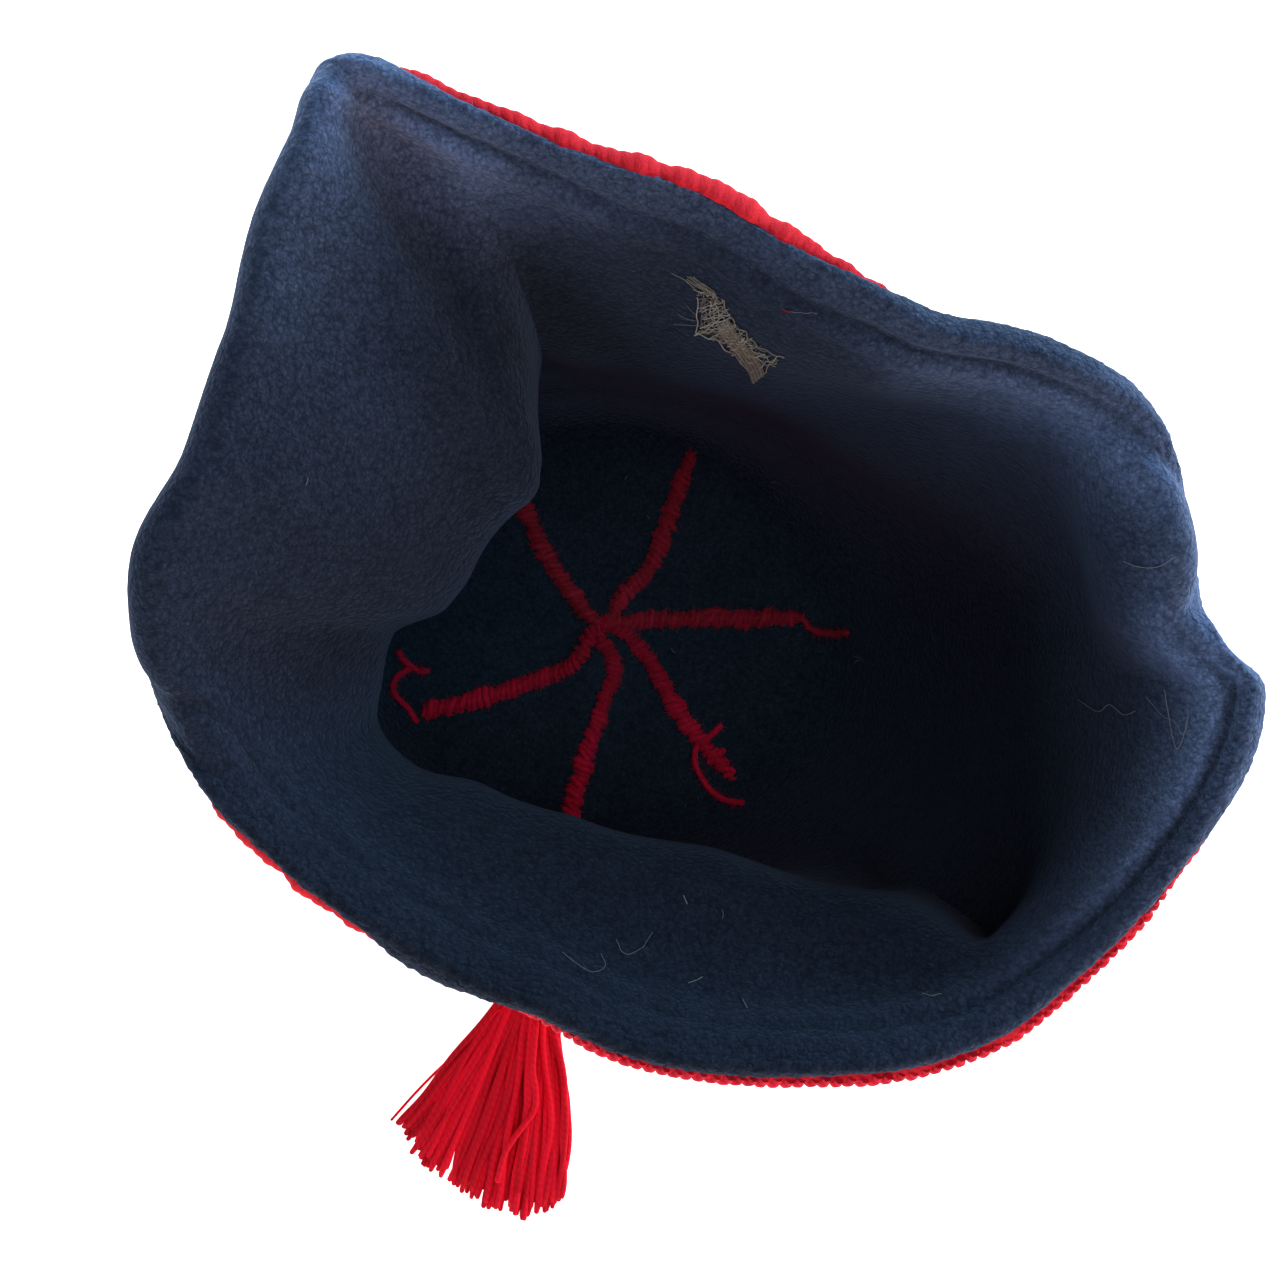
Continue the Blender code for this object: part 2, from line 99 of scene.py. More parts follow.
def smooth_line(points, spacing):
    """Even points along a smooth curve through the given ones."""
    points = np.asarray(points, float)
    ends = np.vstack((2 * points[0] - points[1], points, 2 * points[-1] - points[-2]))
    fine = []
    for a, b, c, d in zip(ends, ends[1:], ends[2:], ends[3:]):
        for s in np.arange(16) / 16:
            fine.append(0.5 * (2 * b + (c - a) * s + (2 * a - 5 * b + 4 * c - d) * s * s
                               + (3 * b - a - 3 * c + d) * s ** 3))
    fine = np.array(fine + [points[-1]])
    run = run_along(fine)
    wanted = np.linspace(0.0, run[-1], max(2, round(run[-1] / spacing)) + 1)
    return np.stack([np.interp(wanted, run, fine[:, k]) for k in range(points.shape[1])], axis=1)


def line_frame(line):
    """Tangents of a line, and two directions across it that turn as little as they can."""
    tangent = np.gradient(line, axis=0)
    tangent /= np.linalg.norm(tangent, axis=1)[:, None]
    start = np.array((0.0, 0.0, 1.0)) if abs(tangent[0][2]) < 0.9 else np.array((1.0, 0.0, 0.0))
    across = []
    for t in tangent:
        start = start - t * np.dot(start, t)
        start = start / np.linalg.norm(start)
        across.append(start)
    across = np.array(across)
    return tangent, across, np.cross(tangent, across)


def first(made):
    """A node's first output in use."""
    return next(socket for socket in made.outputs if socket.enabled)


def node(tree, kind, settings, *values, **named):
    """Add a node to a tree. Each input takes a number, a material, another node's output, or
    another node, whose first output is meant."""
    made = tree.nodes.new(kind)
    for key, value in settings.items():
        setattr(made, key, value)
    shown = [socket for socket in made.inputs if socket.enabled]
    filled = list(zip(shown, values))
    filled += [(next(s for s in shown if s.name == key.replace("_", " ")), value)
               for key, value in named.items()]
    for socket, value in filled:
        if isinstance(value, bpy.types.Node):
            value = first(value)
        if isinstance(value, bpy.types.NodeSocket):
            tree.links.new(value, socket)
        elif value is not None:
            socket.default_value = value
    return made


def sums(tree, operation, *values):
    """A Math node's result, in a material or in a Geometry Nodes tree."""
    return first(node(tree, "ShaderNodeMath", {"operation": operation}, *values))


def times(tree, value, factor):
    """A value times a factor."""
    return sums(tree, "MULTIPLY", value, factor)


def plus(tree, value, factor, rest):
    """A value times a factor, plus the rest."""
    return sums(tree, "MULTIPLY_ADD", value, factor, rest)


def humps(tree, value, factor):
    """Even humps from 0 to 1, the size of a sine wave."""
    return sums(tree, "ABSOLUTE", sums(tree, "SINE", times(tree, value, factor)))


def vector(tree, *parts):
    """A vector from its parts."""
    return first(node(tree, "ShaderNodeCombineXYZ", {}, *parts))


def marked(tree, name, kind="FLOAT"):
    """A mark's value in a Geometry Nodes tree."""
    return first(node(tree, "GeometryNodeInputNamedAttribute", {"data_type": kind}, name))


def measured(tree, curve, measure):
    """A curve, and its points' own Length or Factor, kept for what is made from it."""
    kept = node(tree, "GeometryNodeCaptureAttribute", {}, curve)
    kept.capture_items.new("FLOAT", measure)
    place = node(tree, "GeometryNodeSplineParameter", {})
    tree.links.new(place.outputs[measure], kept.inputs[1])
    return kept.outputs[0], kept.outputs[1]


def yarn_map(tree, mesh, round_it, along_it):
    """A mesh with the UV map yarn, which runs round the yarn and along it in metres."""
    return node(tree, "GeometryNodeStoreNamedAttribute", {"data_type": "FLOAT2", "domain": "CORNER"},
                mesh, None, "yarn", vector(tree, round_it, along_it))


def new_tree(name, **kinds):
    """A Geometry Nodes tree with a geometry and the named inputs, and those inputs."""
    tree = bpy.data.node_groups.new(name, "GeometryNodeTree")
    tree.interface.new_socket("Geometry", in_out="INPUT", socket_type="NodeSocketGeometry")
    for key, kind in kinds.items():
        tree.interface.new_socket(key.replace("_", " "), in_out="INPUT",
                                  socket_type="NodeSocket" + kind)
    tree.interface.new_socket("Geometry", in_out="OUTPUT", socket_type="NodeSocketGeometry")
    return tree, tree.nodes.new("NodeGroupInput").outputs


def end_tree(tree, geometry, material):
    """End a tree: copies made real, smooth shading and the material."""
    real = node(tree, "GeometryNodeRealizeInstances", {}, geometry)
    smooth = node(tree, "GeometryNodeSetShadeSmooth", {}, real)
    dressed = node(tree, "GeometryNodeSetMaterial", {}, smooth, Material=material)
    tree.links.new(first(dressed), tree.nodes.new("NodeGroupOutput").inputs[0])
    return tree


def worked(base, tree, name, keep=False, **sizes):
    """The plain mesh that a tree makes from a base object. The base is used up unless kept."""
    modifier = base.modifiers.new(tree.name, "NODES")
    modifier.node_group = tree
    for item in tree.interface.items_tree:
        key = item.name.replace(" ", "_")
        if item.in_out == "INPUT" and key in sizes:
            modifier[item.identifier] = sizes[key]
    bpy.context.view_layer.update()
    depsgraph = bpy.context.evaluated_depsgraph_get()
    mesh = bpy.data.meshes.new_from_object(base.evaluated_get(depsgraph),
                                           preserve_all_data_layers=True, depsgraph=depsgraph)
    mesh.name = name
    made = placed(name, mesh)
    if keep:
        base.modifiers.remove(modifier)
    else:
        bpy.data.objects.remove(base)
    return made


def as_object(name, verts, edges, faces, **marks):
    """A plain mesh object with one number or direction at each point for each mark."""
    mesh = bpy.data.meshes.new(name)
    mesh.from_pydata(np.asarray(verts).tolist(), edges, faces)
    for key, value in marks.items():
        value = np.asarray(value, np.float32)
        flat = value.ndim == 1
        layer = mesh.attributes.new(key, "FLOAT" if flat else "FLOAT_VECTOR", "POINT")
        layer.data.foreach_set("value" if flat else "vector", value.ravel())
    return placed(name, mesh)


# Yarn along lines: a closed tube round each line, as thick as the line's mark thick says.
tree, given = new_tree("Yarn along lines", Sides="Int", Material="Material")
curve = node(tree, "GeometryNodeMeshToCurve", {}, given["Geometry"])
curve, along_it = measured(tree, curve, "Length")
sides = sums(tree, "ADD", given["Sides"], 1.0)
arc = node(tree, "GeometryNodeCurveArc", {"mode": "RADIUS"}, sides, 1.0, 0.0, 2 * math.pi)
arc, round_it = measured(tree, arc, "Factor")
tube = node(tree, "GeometryNodeCurveToMesh", {}, curve, arc, marked(tree, "thick"))
mapped = yarn_map(tree, tube, round_it, along_it)
closed = node(tree, "GeometryNodeMergeByDistance", {}, mapped, None, 0.000003)
yarn_tree = end_tree(tree, closed, given["Material"])


def spun(name, lines, radii, material, sides, shades):
    """One mesh of yarns along lines. Both ends of each are rounded off, and the mark shade holds
    a number of its own for each yarn."""
    verts, edges, thick, shade = [], [], [], []
    for line, radius, own_shade in zip(lines, radii, shades):
        radius = np.broadcast_to(np.asarray(radius, float), (len(line),))
        head = (line[0] - line[1]) / np.linalg.norm(line[0] - line[1])
        tail = (line[-1] - line[-2]) / np.linalg.norm(line[-1] - line[-2])
        line = np.vstack((line[0] + head * radius[0] * 0.8, line[0] + head * radius[0] * 0.5, line,
                          line[-1] + tail * radius[-1] * 0.5, line[-1] + tail * radius[-1] * 0.8))
        base = len(thick)
        verts.append(line)
        thick += [0.0, radius[0] * 0.72, *radius, radius[-1] * 0.72, 0.0]
        edges += [(base + i, base + i + 1) for i in range(len(line) - 1)]
        shade += [own_shade] * len(line)
    base = as_object(name + "_lines", np.vstack(verts), edges, [], thick=thick, shade=shade)
    return worked(base, yarn_tree, name, Sides=sides, Material=material)


def mottle(tree, scale, detail):
    """A Noise texture's value on Object coordinates."""
    spot = node(tree, "ShaderNodeTexCoord", {}).outputs["Object"]
    return first(node(tree, "ShaderNodeTexNoise", {}, spot, scale, detail))


def mark(tree, name):
    """A mark's value in a material."""
    return node(tree, "ShaderNodeAttribute", {"attribute_name": name}).outputs["Fac"]


def ramp(tree, value, *stops):
    """Colours between stops of (place, colour)."""
    made = node(tree, "ShaderNodeValToRGB", {}, value)
    while len(made.color_ramp.elements) < len(stops):
        made.color_ramp.elements.new(0.5)
    for element, (place, colour) in zip(made.color_ramp.elements, stops):
        element.position = place
        element.color = (*colour, 1.0)
    return made.outputs["Color"]


def relief(tree, height, distance, strength, under=None):
    """A Bump node over another one's normal."""
    return first(node(tree, "ShaderNodeBump", {}, Strength=strength, Distance=distance,
                      Height=height, Normal=under))


def cloth_shader(name, roughness, sheen, sheen_colour):
    """A new material whose shader has a cloth's sheen and hardly any gloss."""
    material = bpy.data.materials.new(name)
    material.use_nodes = True
    shader = material.node_tree.nodes["Principled BSDF"]
    shader.inputs["Roughness"].default_value = roughness
    shader.inputs["Specular IOR Level"].default_value = 0.15
    shader.inputs["Sheen Weight"].default_value = sheen
    shader.inputs["Sheen Roughness"].default_value = 0.5
    shader.inputs["Sheen Tint"].default_value = (*sheen_colour, 1.0)
    return material, material.node_tree, shader


def red_yarn(name, dark, light, relief_depth=0.00018, ply_share=0.12, spread=0.50,
             sheen_colour=(1.0, 0.16, 0.28)):
    """Twisted yarn: slanting plies from its own UV map, and a shade of its own for each strand."""
    material, tree, shader = cloth_shader(name, 0.80, 0.22, sheen_colour)
    parts = node(tree, "ShaderNodeSeparateXYZ", {}, node(tree, "ShaderNodeUVMap", {"uv_map": "yarn"}))
    turns = plus(tree, parts.outputs["Y"], 1.0 / YARN_LAY, parts.outputs["X"])
    twist = humps(tree, turns, 2 * math.pi)
    fibres = mottle(tree, scale=2600.0, detail=3.0)
    tone = plus(tree, twist, ply_share, times(tree, fibres, 0.30))
    tone = plus(tree, mark(tree, "shade"), spread, tone)
    tree.links.new(ramp(tree, tone, (0.10, dark), (0.90, light)), shader.inputs["Base Color"])
    height = plus(tree, fibres, 0.45, twist)
    tree.links.new(relief(tree, height, relief_depth, 0.8), shader.inputs["Normal"])
    return material


tassel_yarn = red_yarn("Crimson acrylic yarn", (0.38, 0.000, 0.005), (1.0, 0.005, 0.026),
                       relief_depth=0.00014, ply_share=0.14, spread=0.62, sheen_colour=(1.0, 0.02, 0.08))

cord_line = smooth_line(CORD_ROUTE, CORD_STEP) + CROWN
_, across, over = line_frame(cord_line)
run = run_along(cord_line)
plies = []
for k in range(CORD_PLIES):
    angle = 2 * math.pi * (run / CORD_LAY + k / CORD_PLIES)
    plies.append(cord_line + 0.25 * CORD_DIAMETER * (
        across * np.cos(angle)[:, None] + over * np.sin(angle)[:, None]))
cord = spun("tassel_cord_yarn", plies, [0.25 * CORD_DIAMETER] * CORD_PLIES, tassel_yarn, 8,
            (0.4, 0.5, 0.6))
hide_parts("tassel_cord")
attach(cord, "root")


# Knit shell: the hat's outside, a thick red stocking stitch worked from the hem to the crown and
# drawn together there in six gores. The wall is pushed in at one side, two stretches of its rim are
# turned outwards, and its hem is a soft roll with a bound-off edge of slanting stitches.
RIM_RADIUS = 0.110
BODY_RADIUS = 0.080
CROWN_RADIUS = 0.052
HAT_HEIGHT = 0.165
KNIT_WALL = 0.0040
HEM_BAND = 0.010
TURNED_EDGE = 0.024
CORD_DIRECTION = 259.0
CORD_BED_HALF_WIDTH = 0.012
CORD_BED_HEIGHT = 0.0040
BODY_ROWS = np.array((  # direction, foot, belly out and up, waist out and up
    (0, 1.04, 1.07, 0.27, 1.27, 0.51), (40, 1.00, 0.88, 0.27, 0.91, 0.53),
    (80, 0.98, 0.79, 0.25, 0.77, 0.50), (103, 0.98, 0.82, 0.25, 0.82, 0.52),
    (112, 0.97, 0.86, 0.25, 0.70, 0.52), (150, 0.97, 0.87, 0.24, 0.62, 0.51),
    (180, 0.98, 0.90, 0.24, 0.70, 0.50), (204, 0.98, 0.92, 0.25, 0.80, 0.46),
    (240, 0.98, 0.92, 0.25, 0.72, 0.47), (272, 0.99, 0.94, 0.25, 0.75, 0.47),
    (300, 1.00, 0.98, 0.26, 0.91, 0.48), (318, 1.02, 1.03, 0.27, 1.22, 0.51),
    (340, 1.04, 1.07, 0.27, 1.26, 0.51),
), float)
RIM_ROWS = np.array((  # direction, fold out and up, edge out and up, how far turned outwards
    (1, 1.02, 0.74, 1.13, 0.97, 0.30), (8, 1.00, 0.74, 1.12, 0.99, 0.55),
    (18, 0.94, 0.76, 1.112, 0.99, 0.15), (30, 0.82, 0.78, 0.975, 1.00, 0.00),
    (42, 0.71, 0.78, 0.822, 1.00, 0.00), (58, 0.61, 0.73, 0.78, 1.00, 0.00),
    (76, 0.57, 0.70, 0.82, 1.00, 0.00), (86, 0.57, 0.70, 0.838, 1.00, 0.00),
    (94, 0.57, 0.70, 0.878, 1.00, 0.00), (103, 0.61, 0.74, 0.957, 1.01, 0.00),
    (108, 0.49, 0.80, 1.028, 1.01, 0.00), (113, 0.35, 0.81, 1.113, 1.02, 0.10),
    (115, 0.33, 0.805, 1.128, 1.02, 0.26), (117, 0.31, 0.80, 1.112, 1.02, 0.45),
    (121, 0.30, 0.80, 1.036, 1.02, 0.75), (128, 0.30, 0.79, 0.96, 1.01, 0.90),
    (142, 0.30, 0.78, 0.83, 1.00, 1.00), (158, 0.30, 0.77, 0.79, 0.99, 1.00),
    (172, 0.33, 0.76, 0.84, 0.98, 0.95), (181, 0.45, 0.74, 0.85, 0.96, 0.75),
    (194, 0.50, 0.70, 0.82, 0.93, 0.30), (206, 0.55, 0.66, 0.79, 0.92, 0.05),
    (218, 0.53, 0.68, 0.75, 0.91, 0.00), (236, 0.45, 0.70, 0.722, 0.91, 0.00),
    (259, 0.44, 0.70, 0.74, 0.91, 0.00), (276, 0.48, 0.70, 0.83, 0.91, 0.00),
    (294, 0.55, 0.70, 0.94, 0.91, 0.00), (308, 0.73, 0.72, 1.052, 0.92, 0.00),
    (316, 0.86, 0.74, 1.10, 0.93, 0.00), (321, 1.05, 0.76, 1.117, 0.93, 0.00),
    (335, 1.03, 0.73, 1.175, 0.95, 0.00), (350, 1.03, 0.73, 1.24, 0.97, 0.00),
    (354, 1.03, 0.74, 1.245, 0.97, 0.05), (358, 1.03, 0.74, 1.165, 0.97, 0.15),
), float)
LIP_OPEN, ROLL_OPEN = np.array((-1.05, -1.20)), np.array((-0.50, -0.42))
LIP_TURNED, ROLL_TURNED = np.array((-1.25, -0.15)), np.array((-0.30, 0.25))
WALES = 250
WALE_POINTS = 6
WALE_RELIEF = 0.00045
WALE_LEVEL = 0.6
COURSE = 0.0020
GORE_ENDS = np.array((4.0, 57.0, 128.0, 220.0, 264.0, 304.0))
GORE_CREASE = 0.0007
GORE_CREASE_WIDTH = 0.0022
GORE_REACH = 0.072
HEM_WAVE = 0.00045
HEM_WAVES = ((31, 0.0), (47, 1.0), (73, 2.0))
HEM_BUMP = 0.0007
HEM_LEAN = 0.85
HEM_SMOOTH = 0.005
ROLL_STEPS = 8
ROLL_OVER = 0.0044
HEM_PULLED_IN = 0.55 * KNIT_WALL + 0.0006
EDGE_BAND = 0.0028
ROLLED_ROWS = np.array((  # direction, how far the lining is rolled over the hem
    (14, 1.0), (32, 1.0), (41, 0.95), (50, 0.35), (60, -0.22), (68, -0.60), (76, -0.58), (85, -0.40),
    (93, -0.30), (100, -0.02), (104, 0.15), (111, 0.60), (118, 0.80), (140, 0.20), (180, 0.30),
    (190, 0.38), (196, 0.20), (204, 0.24), (212, 0.22), (220, 0.20), (228, 0.24), (234, 0.32),
    (240, 1.0), (246, 1.0), (254, 0.6), (270, 0.38), (290, 0.27), (305, 0.17), (318, 0.17),
    (327, 0.24), (336, 0.34), (342, 0.60), (347, 0.85), (354, 1.0),
), float)
BUMP_ROWS = np.array((  # direction, how far the hem's single stitches stand out
    (10, 0.25), (60, 0.42), (100, 0.50), (140, 0.5), (200, 0.55), (250, 0.7), (285, 1.0),
    (325, 1.0), (345, 0.5),
), float)


def around(rows, directions):
    """All columns of a table at any directions, by smooth curves that never overshoot."""
    angle, value = rows[:, 0], rows[:, 1:]
    span = np.diff(np.append(angle, angle[0] + 360.0))
    rise = np.diff(np.vstack((value, value[:1])), axis=0) / span[:, None]
    before = np.roll(rise, 1, axis=0)
    same_way = before * rise > 0
    slope = np.where(same_way, 2 * before * rise, 0.0) / np.where(same_way, before + rise, 1.0)
    turn = (directions - angle[0]) % 360.0 + angle[0]
    row = np.searchsorted(angle, turn, side="right") - 1
    following = (row + 1) % len(angle)
    s = ((turn - angle[row]) / span[row])[:, None]
    width = span[row][:, None]
    return (value[row] * (1 + 2 * s) * (1 - s) ** 2 + value[following] * s * s * (3 - 2 * s)
            + width * (slope[row] * s * (1 - s) ** 2 - slope[following] * s * s * (1 - s)))


def wall_points(directions, rings):
    """Points of the surface between knit and fleece, in rows from the crown's middle (ring 0)
    over foot 1, belly 2, waist 3, fold 4, lip 5 and roll 6 to the hem 7."""
    body, rim = around(BODY_ROWS, directions), around(RIM_ROWS, directions)
    edge = rim[:, 2:4] * (RIM_RADIUS, HAT_HEIGHT)
    turned = rim[:, 4:5]
    flat = np.full(len(directions), KNIT_WALL)
    corners = np.stack((
        np.stack((0 * flat, flat), axis=1),
        np.stack((body[:, 0] * CROWN_RADIUS, flat), axis=1),
        body[:, 1:3] * (BODY_RADIUS, HAT_HEIGHT),
        body[:, 3:5] * (BODY_RADIUS, HAT_HEIGHT),
        rim[:, 0:2] * (RIM_RADIUS, HAT_HEIGHT),
        edge + ((1 - turned) * LIP_OPEN + turned * LIP_TURNED) * HEM_BAND,
        edge + ((1 - turned) * ROLL_OPEN + turned * ROLL_TURNED) * HEM_BAND,
        edge + turned * np.array((0.0, -TURNED_EDGE)),
    ), axis=1)
    step = np.diff(corners, axis=1)
    chord = np.linalg.norm(step, axis=2, keepdims=True)
    unit = step / chord
    share = chord[:, 1:] / (chord[:, 1:] + chord[:, :-1])
    tangent = np.concatenate((unit[:, :1], unit[:, :-1] * share + unit[:, 1:] * (1 - share),
                              unit[:, -1:]), axis=1)
    tangent[:, 1] = unit[:, 0]
    rows = []
    for ring in rings:
        i = min(int(ring), 6)
        s = ring - i
        rows.append(corners[:, i] * (1 + 2 * s) * (1 - s) ** 2 + corners[:, i + 1] * s * s * (3 - 2 * s)
                    + chord[:, i] * (tangent[:, i] * s * (1 - s) ** 2
                                     - tangent[:, i + 1] * s * s * (1 - s)))
    out, up = np.moveaxis(np.array(rows), 2, 0)
    turn = np.radians(directions)
    x, y = out * np.cos(turn), out * np.sin(turn)
    way = math.radians(CORD_DIRECTION)
    ramp_up = np.clip((x * math.cos(way) + y * math.sin(way)) / CORD_BED_HALF_WIDTH + 1, 0, 1)
    aside = np.clip(abs(y * math.cos(way) - x * math.sin(way)) / CORD_BED_HALF_WIDTH, 0, 1)
    bed = ramp_up ** 2 * (3 - 2 * ramp_up) * 0.5 * (1 + np.cos(math.pi * aside))
    fade = np.clip(1 - (up - KNIT_WALL) / (2.5 * KNIT_WALL), 0, 1)
    return np.stack((x, y, up + fade * CORD_BED_HEIGHT * bed), axis=2)


def wall(directions, rings):
    """The wall's points, the directions into the hat and towards the hem, and the way from the hem."""
    rings = np.asarray(rings, float)
    points = wall_points(directions, rings)
    low, high = np.maximum(rings - 0.015, 0.0), np.minimum(rings + 0.015, 7.0)
    along = wall_points(directions, high) - wall_points(directions, low)
    sideways = wall_points(directions + 0.4, rings) - wall_points(directions - 0.4, rings)
    inward = np.cross(along, sideways)
    size = np.linalg.norm(inward, axis=2, keepdims=True)
    inward = np.where(size > 1e-12, inward / np.maximum(size, 1e-12), (0.0, 0.0, 1.0))
    inward[rings < 0.03] = (0.0, 0.0, 1.0)
    along /= np.linalg.norm(along, axis=2, keepdims=True)
    run = np.linalg.norm(np.diff(points, axis=0), axis=2)
    from_hem = np.vstack((np.flip(np.cumsum(np.flip(run, 0), axis=0), 0), np.zeros_like(run[:1])))
    return points, inward, along, from_hem


def even_columns(count):
    """Directions that part the cloth evenly, between the hem's own length and the waist's."""
    fine = np.arange(0.0, 360.25, 0.25)
    measure = np.zeros(len(fine) - 1)
    for ring, weight in ((7, 0.55), (3, 0.45)):
        length = np.linalg.norm(np.diff(wall_points(fine, (ring,))[0], axis=0), axis=1)
        measure += weight * length / length.sum()
    return np.interp(np.arange(count) / count, np.append(0.0, np.cumsum(measure)), fine)


def ring_numbers(*stretches):
    """Ring numbers from (first ring, steps) pairs, up to the last pair's own number."""
    numbers = []
    for (ring, steps), (following, _) in zip(stretches, stretches[1:]):
        numbers += list(ring + (following - ring) * np.arange(steps) / steps)
    return numbers + [stretches[-1][0]]


def wall_mesh(name, points, maps=None, outwards=True, middle=False, **marks):
    """A mesh through rows of points that go round the hat, closed round it, with a UV map from
    rows of (u, v) that have one more column than the points, and marks from rows of numbers."""
    rows, columns = points.shape[:2]
    index = np.arange(rows * columns).reshape(rows, columns)
    following = np.roll(index, -1, axis=1)
    quads = np.stack((index[:-1], following[:-1], following[1:], index[1:]), axis=2).reshape(-1, 4)
    verts = points.reshape(-1, 3)
    faces = (quads if outwards else quads[:, ::-1]).tolist()
    marks = {key: value.reshape(rows * columns, -1).squeeze() for key, value in marks.items()}
    if middle:
        ends = np.stack((np.full(columns, len(verts)), following[0], index[0]), axis=1)
        faces += (ends if outwards else ends[:, ::-1]).tolist()
        verts = np.vstack((verts, points[0].mean(axis=0)))
        marks = {key: np.concatenate((value, value[:1])) for key, value in marks.items()}
    made = as_object(name, verts + CROWN, [], faces, **marks)
    if maps is not None:
        corner = np.stack((maps[:-1, :-1], maps[:-1, 1:], maps[1:, 1:], maps[1:, :-1]), axis=2)
        corner = corner.reshape(-1, 2)
        if middle:
            corner = np.vstack((corner, np.zeros((3 * columns, 2))))
        layer = made.data.uv_layers.new(name="cloth")
        layer.data.foreach_set("uv", corner.astype(np.float32).ravel())
    made.data.shade_smooth()
    return made


knit_columns = WALES * WALE_POINTS
knit_directions = even_columns(knit_columns)
knit_rings = ring_numbers((0.04, 9), (1, 9), (2, 10), (3, 12), (4, 18), (5, 5), (6, 6), (7, 0))[1:]
points, inward, along, from_hem = wall(knit_directions, knit_rings)
wale = (np.arange(knit_columns) + 0.5) / WALE_POINTS
out = np.hypot(points[..., 0], points[..., 1])
courses = (from_hem.mean(axis=1)[0] - from_hem) / COURSE
ridge = np.sqrt(abs(np.sin(2 * math.pi * wale)))[None] * np.ones_like(out)
at_hem = np.clip(1 - from_hem / HEM_SMOOTH, 0, 1)
rolled = around(ROLLED_ROWS, knit_directions)[:, 0]
standing = around(BUMP_ROWS, knit_directions)[:, 0]
turn = np.radians(knit_directions)
hem_wave = HEM_WAVE * sum(np.sin(waves * turn + start) for waves, start in HEM_WAVES)
gore = np.min(abs((knit_directions[:, None] - GORE_ENDS[None] + 180) % 360 - 180), axis=1)
crease = np.exp(-((np.radians(gore)[None] * out) / GORE_CREASE_WIDTH) ** 2)
crease *= np.clip((GORE_REACH - out) / 0.02, 0, 1) * (np.array(knit_rings) < 2.4)[:, None]
height = (1 - at_hem) * (ridge - WALE_LEVEL) * WALE_RELIEF - GORE_CREASE * crease
skin = points - inward * (KNIT_WALL + height)[..., None]
skin[..., 2] = np.maximum(skin[..., 2], np.minimum(0.0001, points[..., 2]))
pull = (rolled * HEM_PULLED_IN)[None] * np.clip(1 - from_hem / HEM_BAND, 0, 1)
skin = skin - along * np.maximum(pull, 0.0)[..., None]

# The hem's roll closes the wall's thickness, from its outside round to the fleece, and leans in
# over the fleece's edge where that is drawn back.
inside = np.maximum(-rolled, 0.0) * ROLL_OVER
half = 0.5 * (KNIT_WALL + inside)
roll_turns = np.linspace(0.0, math.pi, ROLL_STEPS + 1)[1:]
roll_rows = []
for turn in roll_turns:
    lean = wale + HEM_LEAN * turn / math.pi
    swell = (abs(np.sin(math.pi * lean)) ** 0.8 - 0.5) * HEM_BUMP * standing * np.sin(0.5 * turn + 0.6)
    outside = half - inside + (half + swell + 0.5 * hem_wave) * math.cos(turn)
    beyond = (0.5 * KNIT_WALL * 0.95 + swell + 0.5 * hem_wave) * math.sin(turn)
    roll_rows.append(points[-1] - inward[-1] * outside[:, None]
                     + along[-1] * (beyond - np.maximum(pull[-1], 0.0))[:, None])
whole = np.concatenate((skin, roll_rows))
over_roll = roll_turns * 0.5 * KNIT_WALL / COURSE
courses = np.concatenate((courses, courses[-1][None] + over_roll[:, None]))
u = np.arange(knit_columns + 1) / WALE_POINTS + 0.5 / WALE_POINTS
v = np.concatenate((courses, courses[:, :1]), axis=1)
knit_map = np.stack((np.broadcast_to(u[None], v.shape), v), axis=2)
edge_share = np.concatenate((np.clip(1 - from_hem / EDGE_BAND, 0, 1), np.ones((ROLL_STEPS, knit_columns))))
cut = knit_rings.index(4)

knit_yarn, tree, shader = cloth_shader("Red stocking stitch", 0.85, 0.22, (1.0, 0.08, 0.08))
parts = node(tree, "ShaderNodeSeparateXYZ", {}, node(tree, "ShaderNodeUVMap", {"uv_map": "cloth"}))
wale_at = plus(tree, mottle(tree, scale=160.0, detail=2.0), 0.30, parts.outputs["X"])
aside = sums(tree, "ABSOLUTE", sums(tree, "SUBTRACT", sums(tree, "FRACT", wale_at), 0.5))
leg = sums(tree, "SUBTRACT", parts.outputs["Y"], times(tree, aside, 1.7))
strand = sums(tree, "POWER", humps(tree, leg, math.pi), 0.6)
loop = times(tree, strand, sums(tree, "POWER", humps(tree, aside, 2 * math.pi), 0.5))
smooth = times(tree, mark(tree, "edge"), 0.9)
loop = plus(tree, smooth, sums(tree, "SUBTRACT", 0.75, loop), loop)
fibre = mottle(tree, scale=2400.0, detail=3.0)
patch = mottle(tree, scale=45.0, detail=3.0)
tone = plus(tree, loop, 0.55, plus(tree, fibre, 0.25, times(tree, patch, 0.22)))
tree.links.new(ramp(tree, tone, (0.12, (0.26, 0.002, 0.008)), (0.45, (0.70, 0.012, 0.026)),
                    (0.95, (0.98, 0.030, 0.038))), shader.inputs["Base Color"])
lift = plus(tree, fibre, 0.22, loop)
tree.links.new(relief(tree, lift, 0.0009, 1.0), shader.inputs["Normal"])

knit_body = wall_mesh("knit_shell_body", whole[:cut + 1], knit_map[:cut + 1], middle=True,
                      edge=edge_share[:cut + 1])
knit_rim = wall_mesh("knit_shell_rim", whole[cut:], knit_map[cut:], edge=edge_share[cut:])
for piece in (knit_body, knit_rim):
    piece.data.materials.append(knit_yarn)
    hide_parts("knit_shell")
    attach(piece, "root")


def scaled(tree, value, factor):
    """A vector or a colour times a factor."""
    return first(node(tree, "ShaderNodeVectorMath", {"operation": "SCALE"}, value, Scale=factor))


def chance(tree, least, most, seed, kind="FLOAT"):
    """A random number or vector for each copy."""
    return first(node(tree, "FunctionNodeRandomValue", {"data_type": kind}, least, most, None, seed))


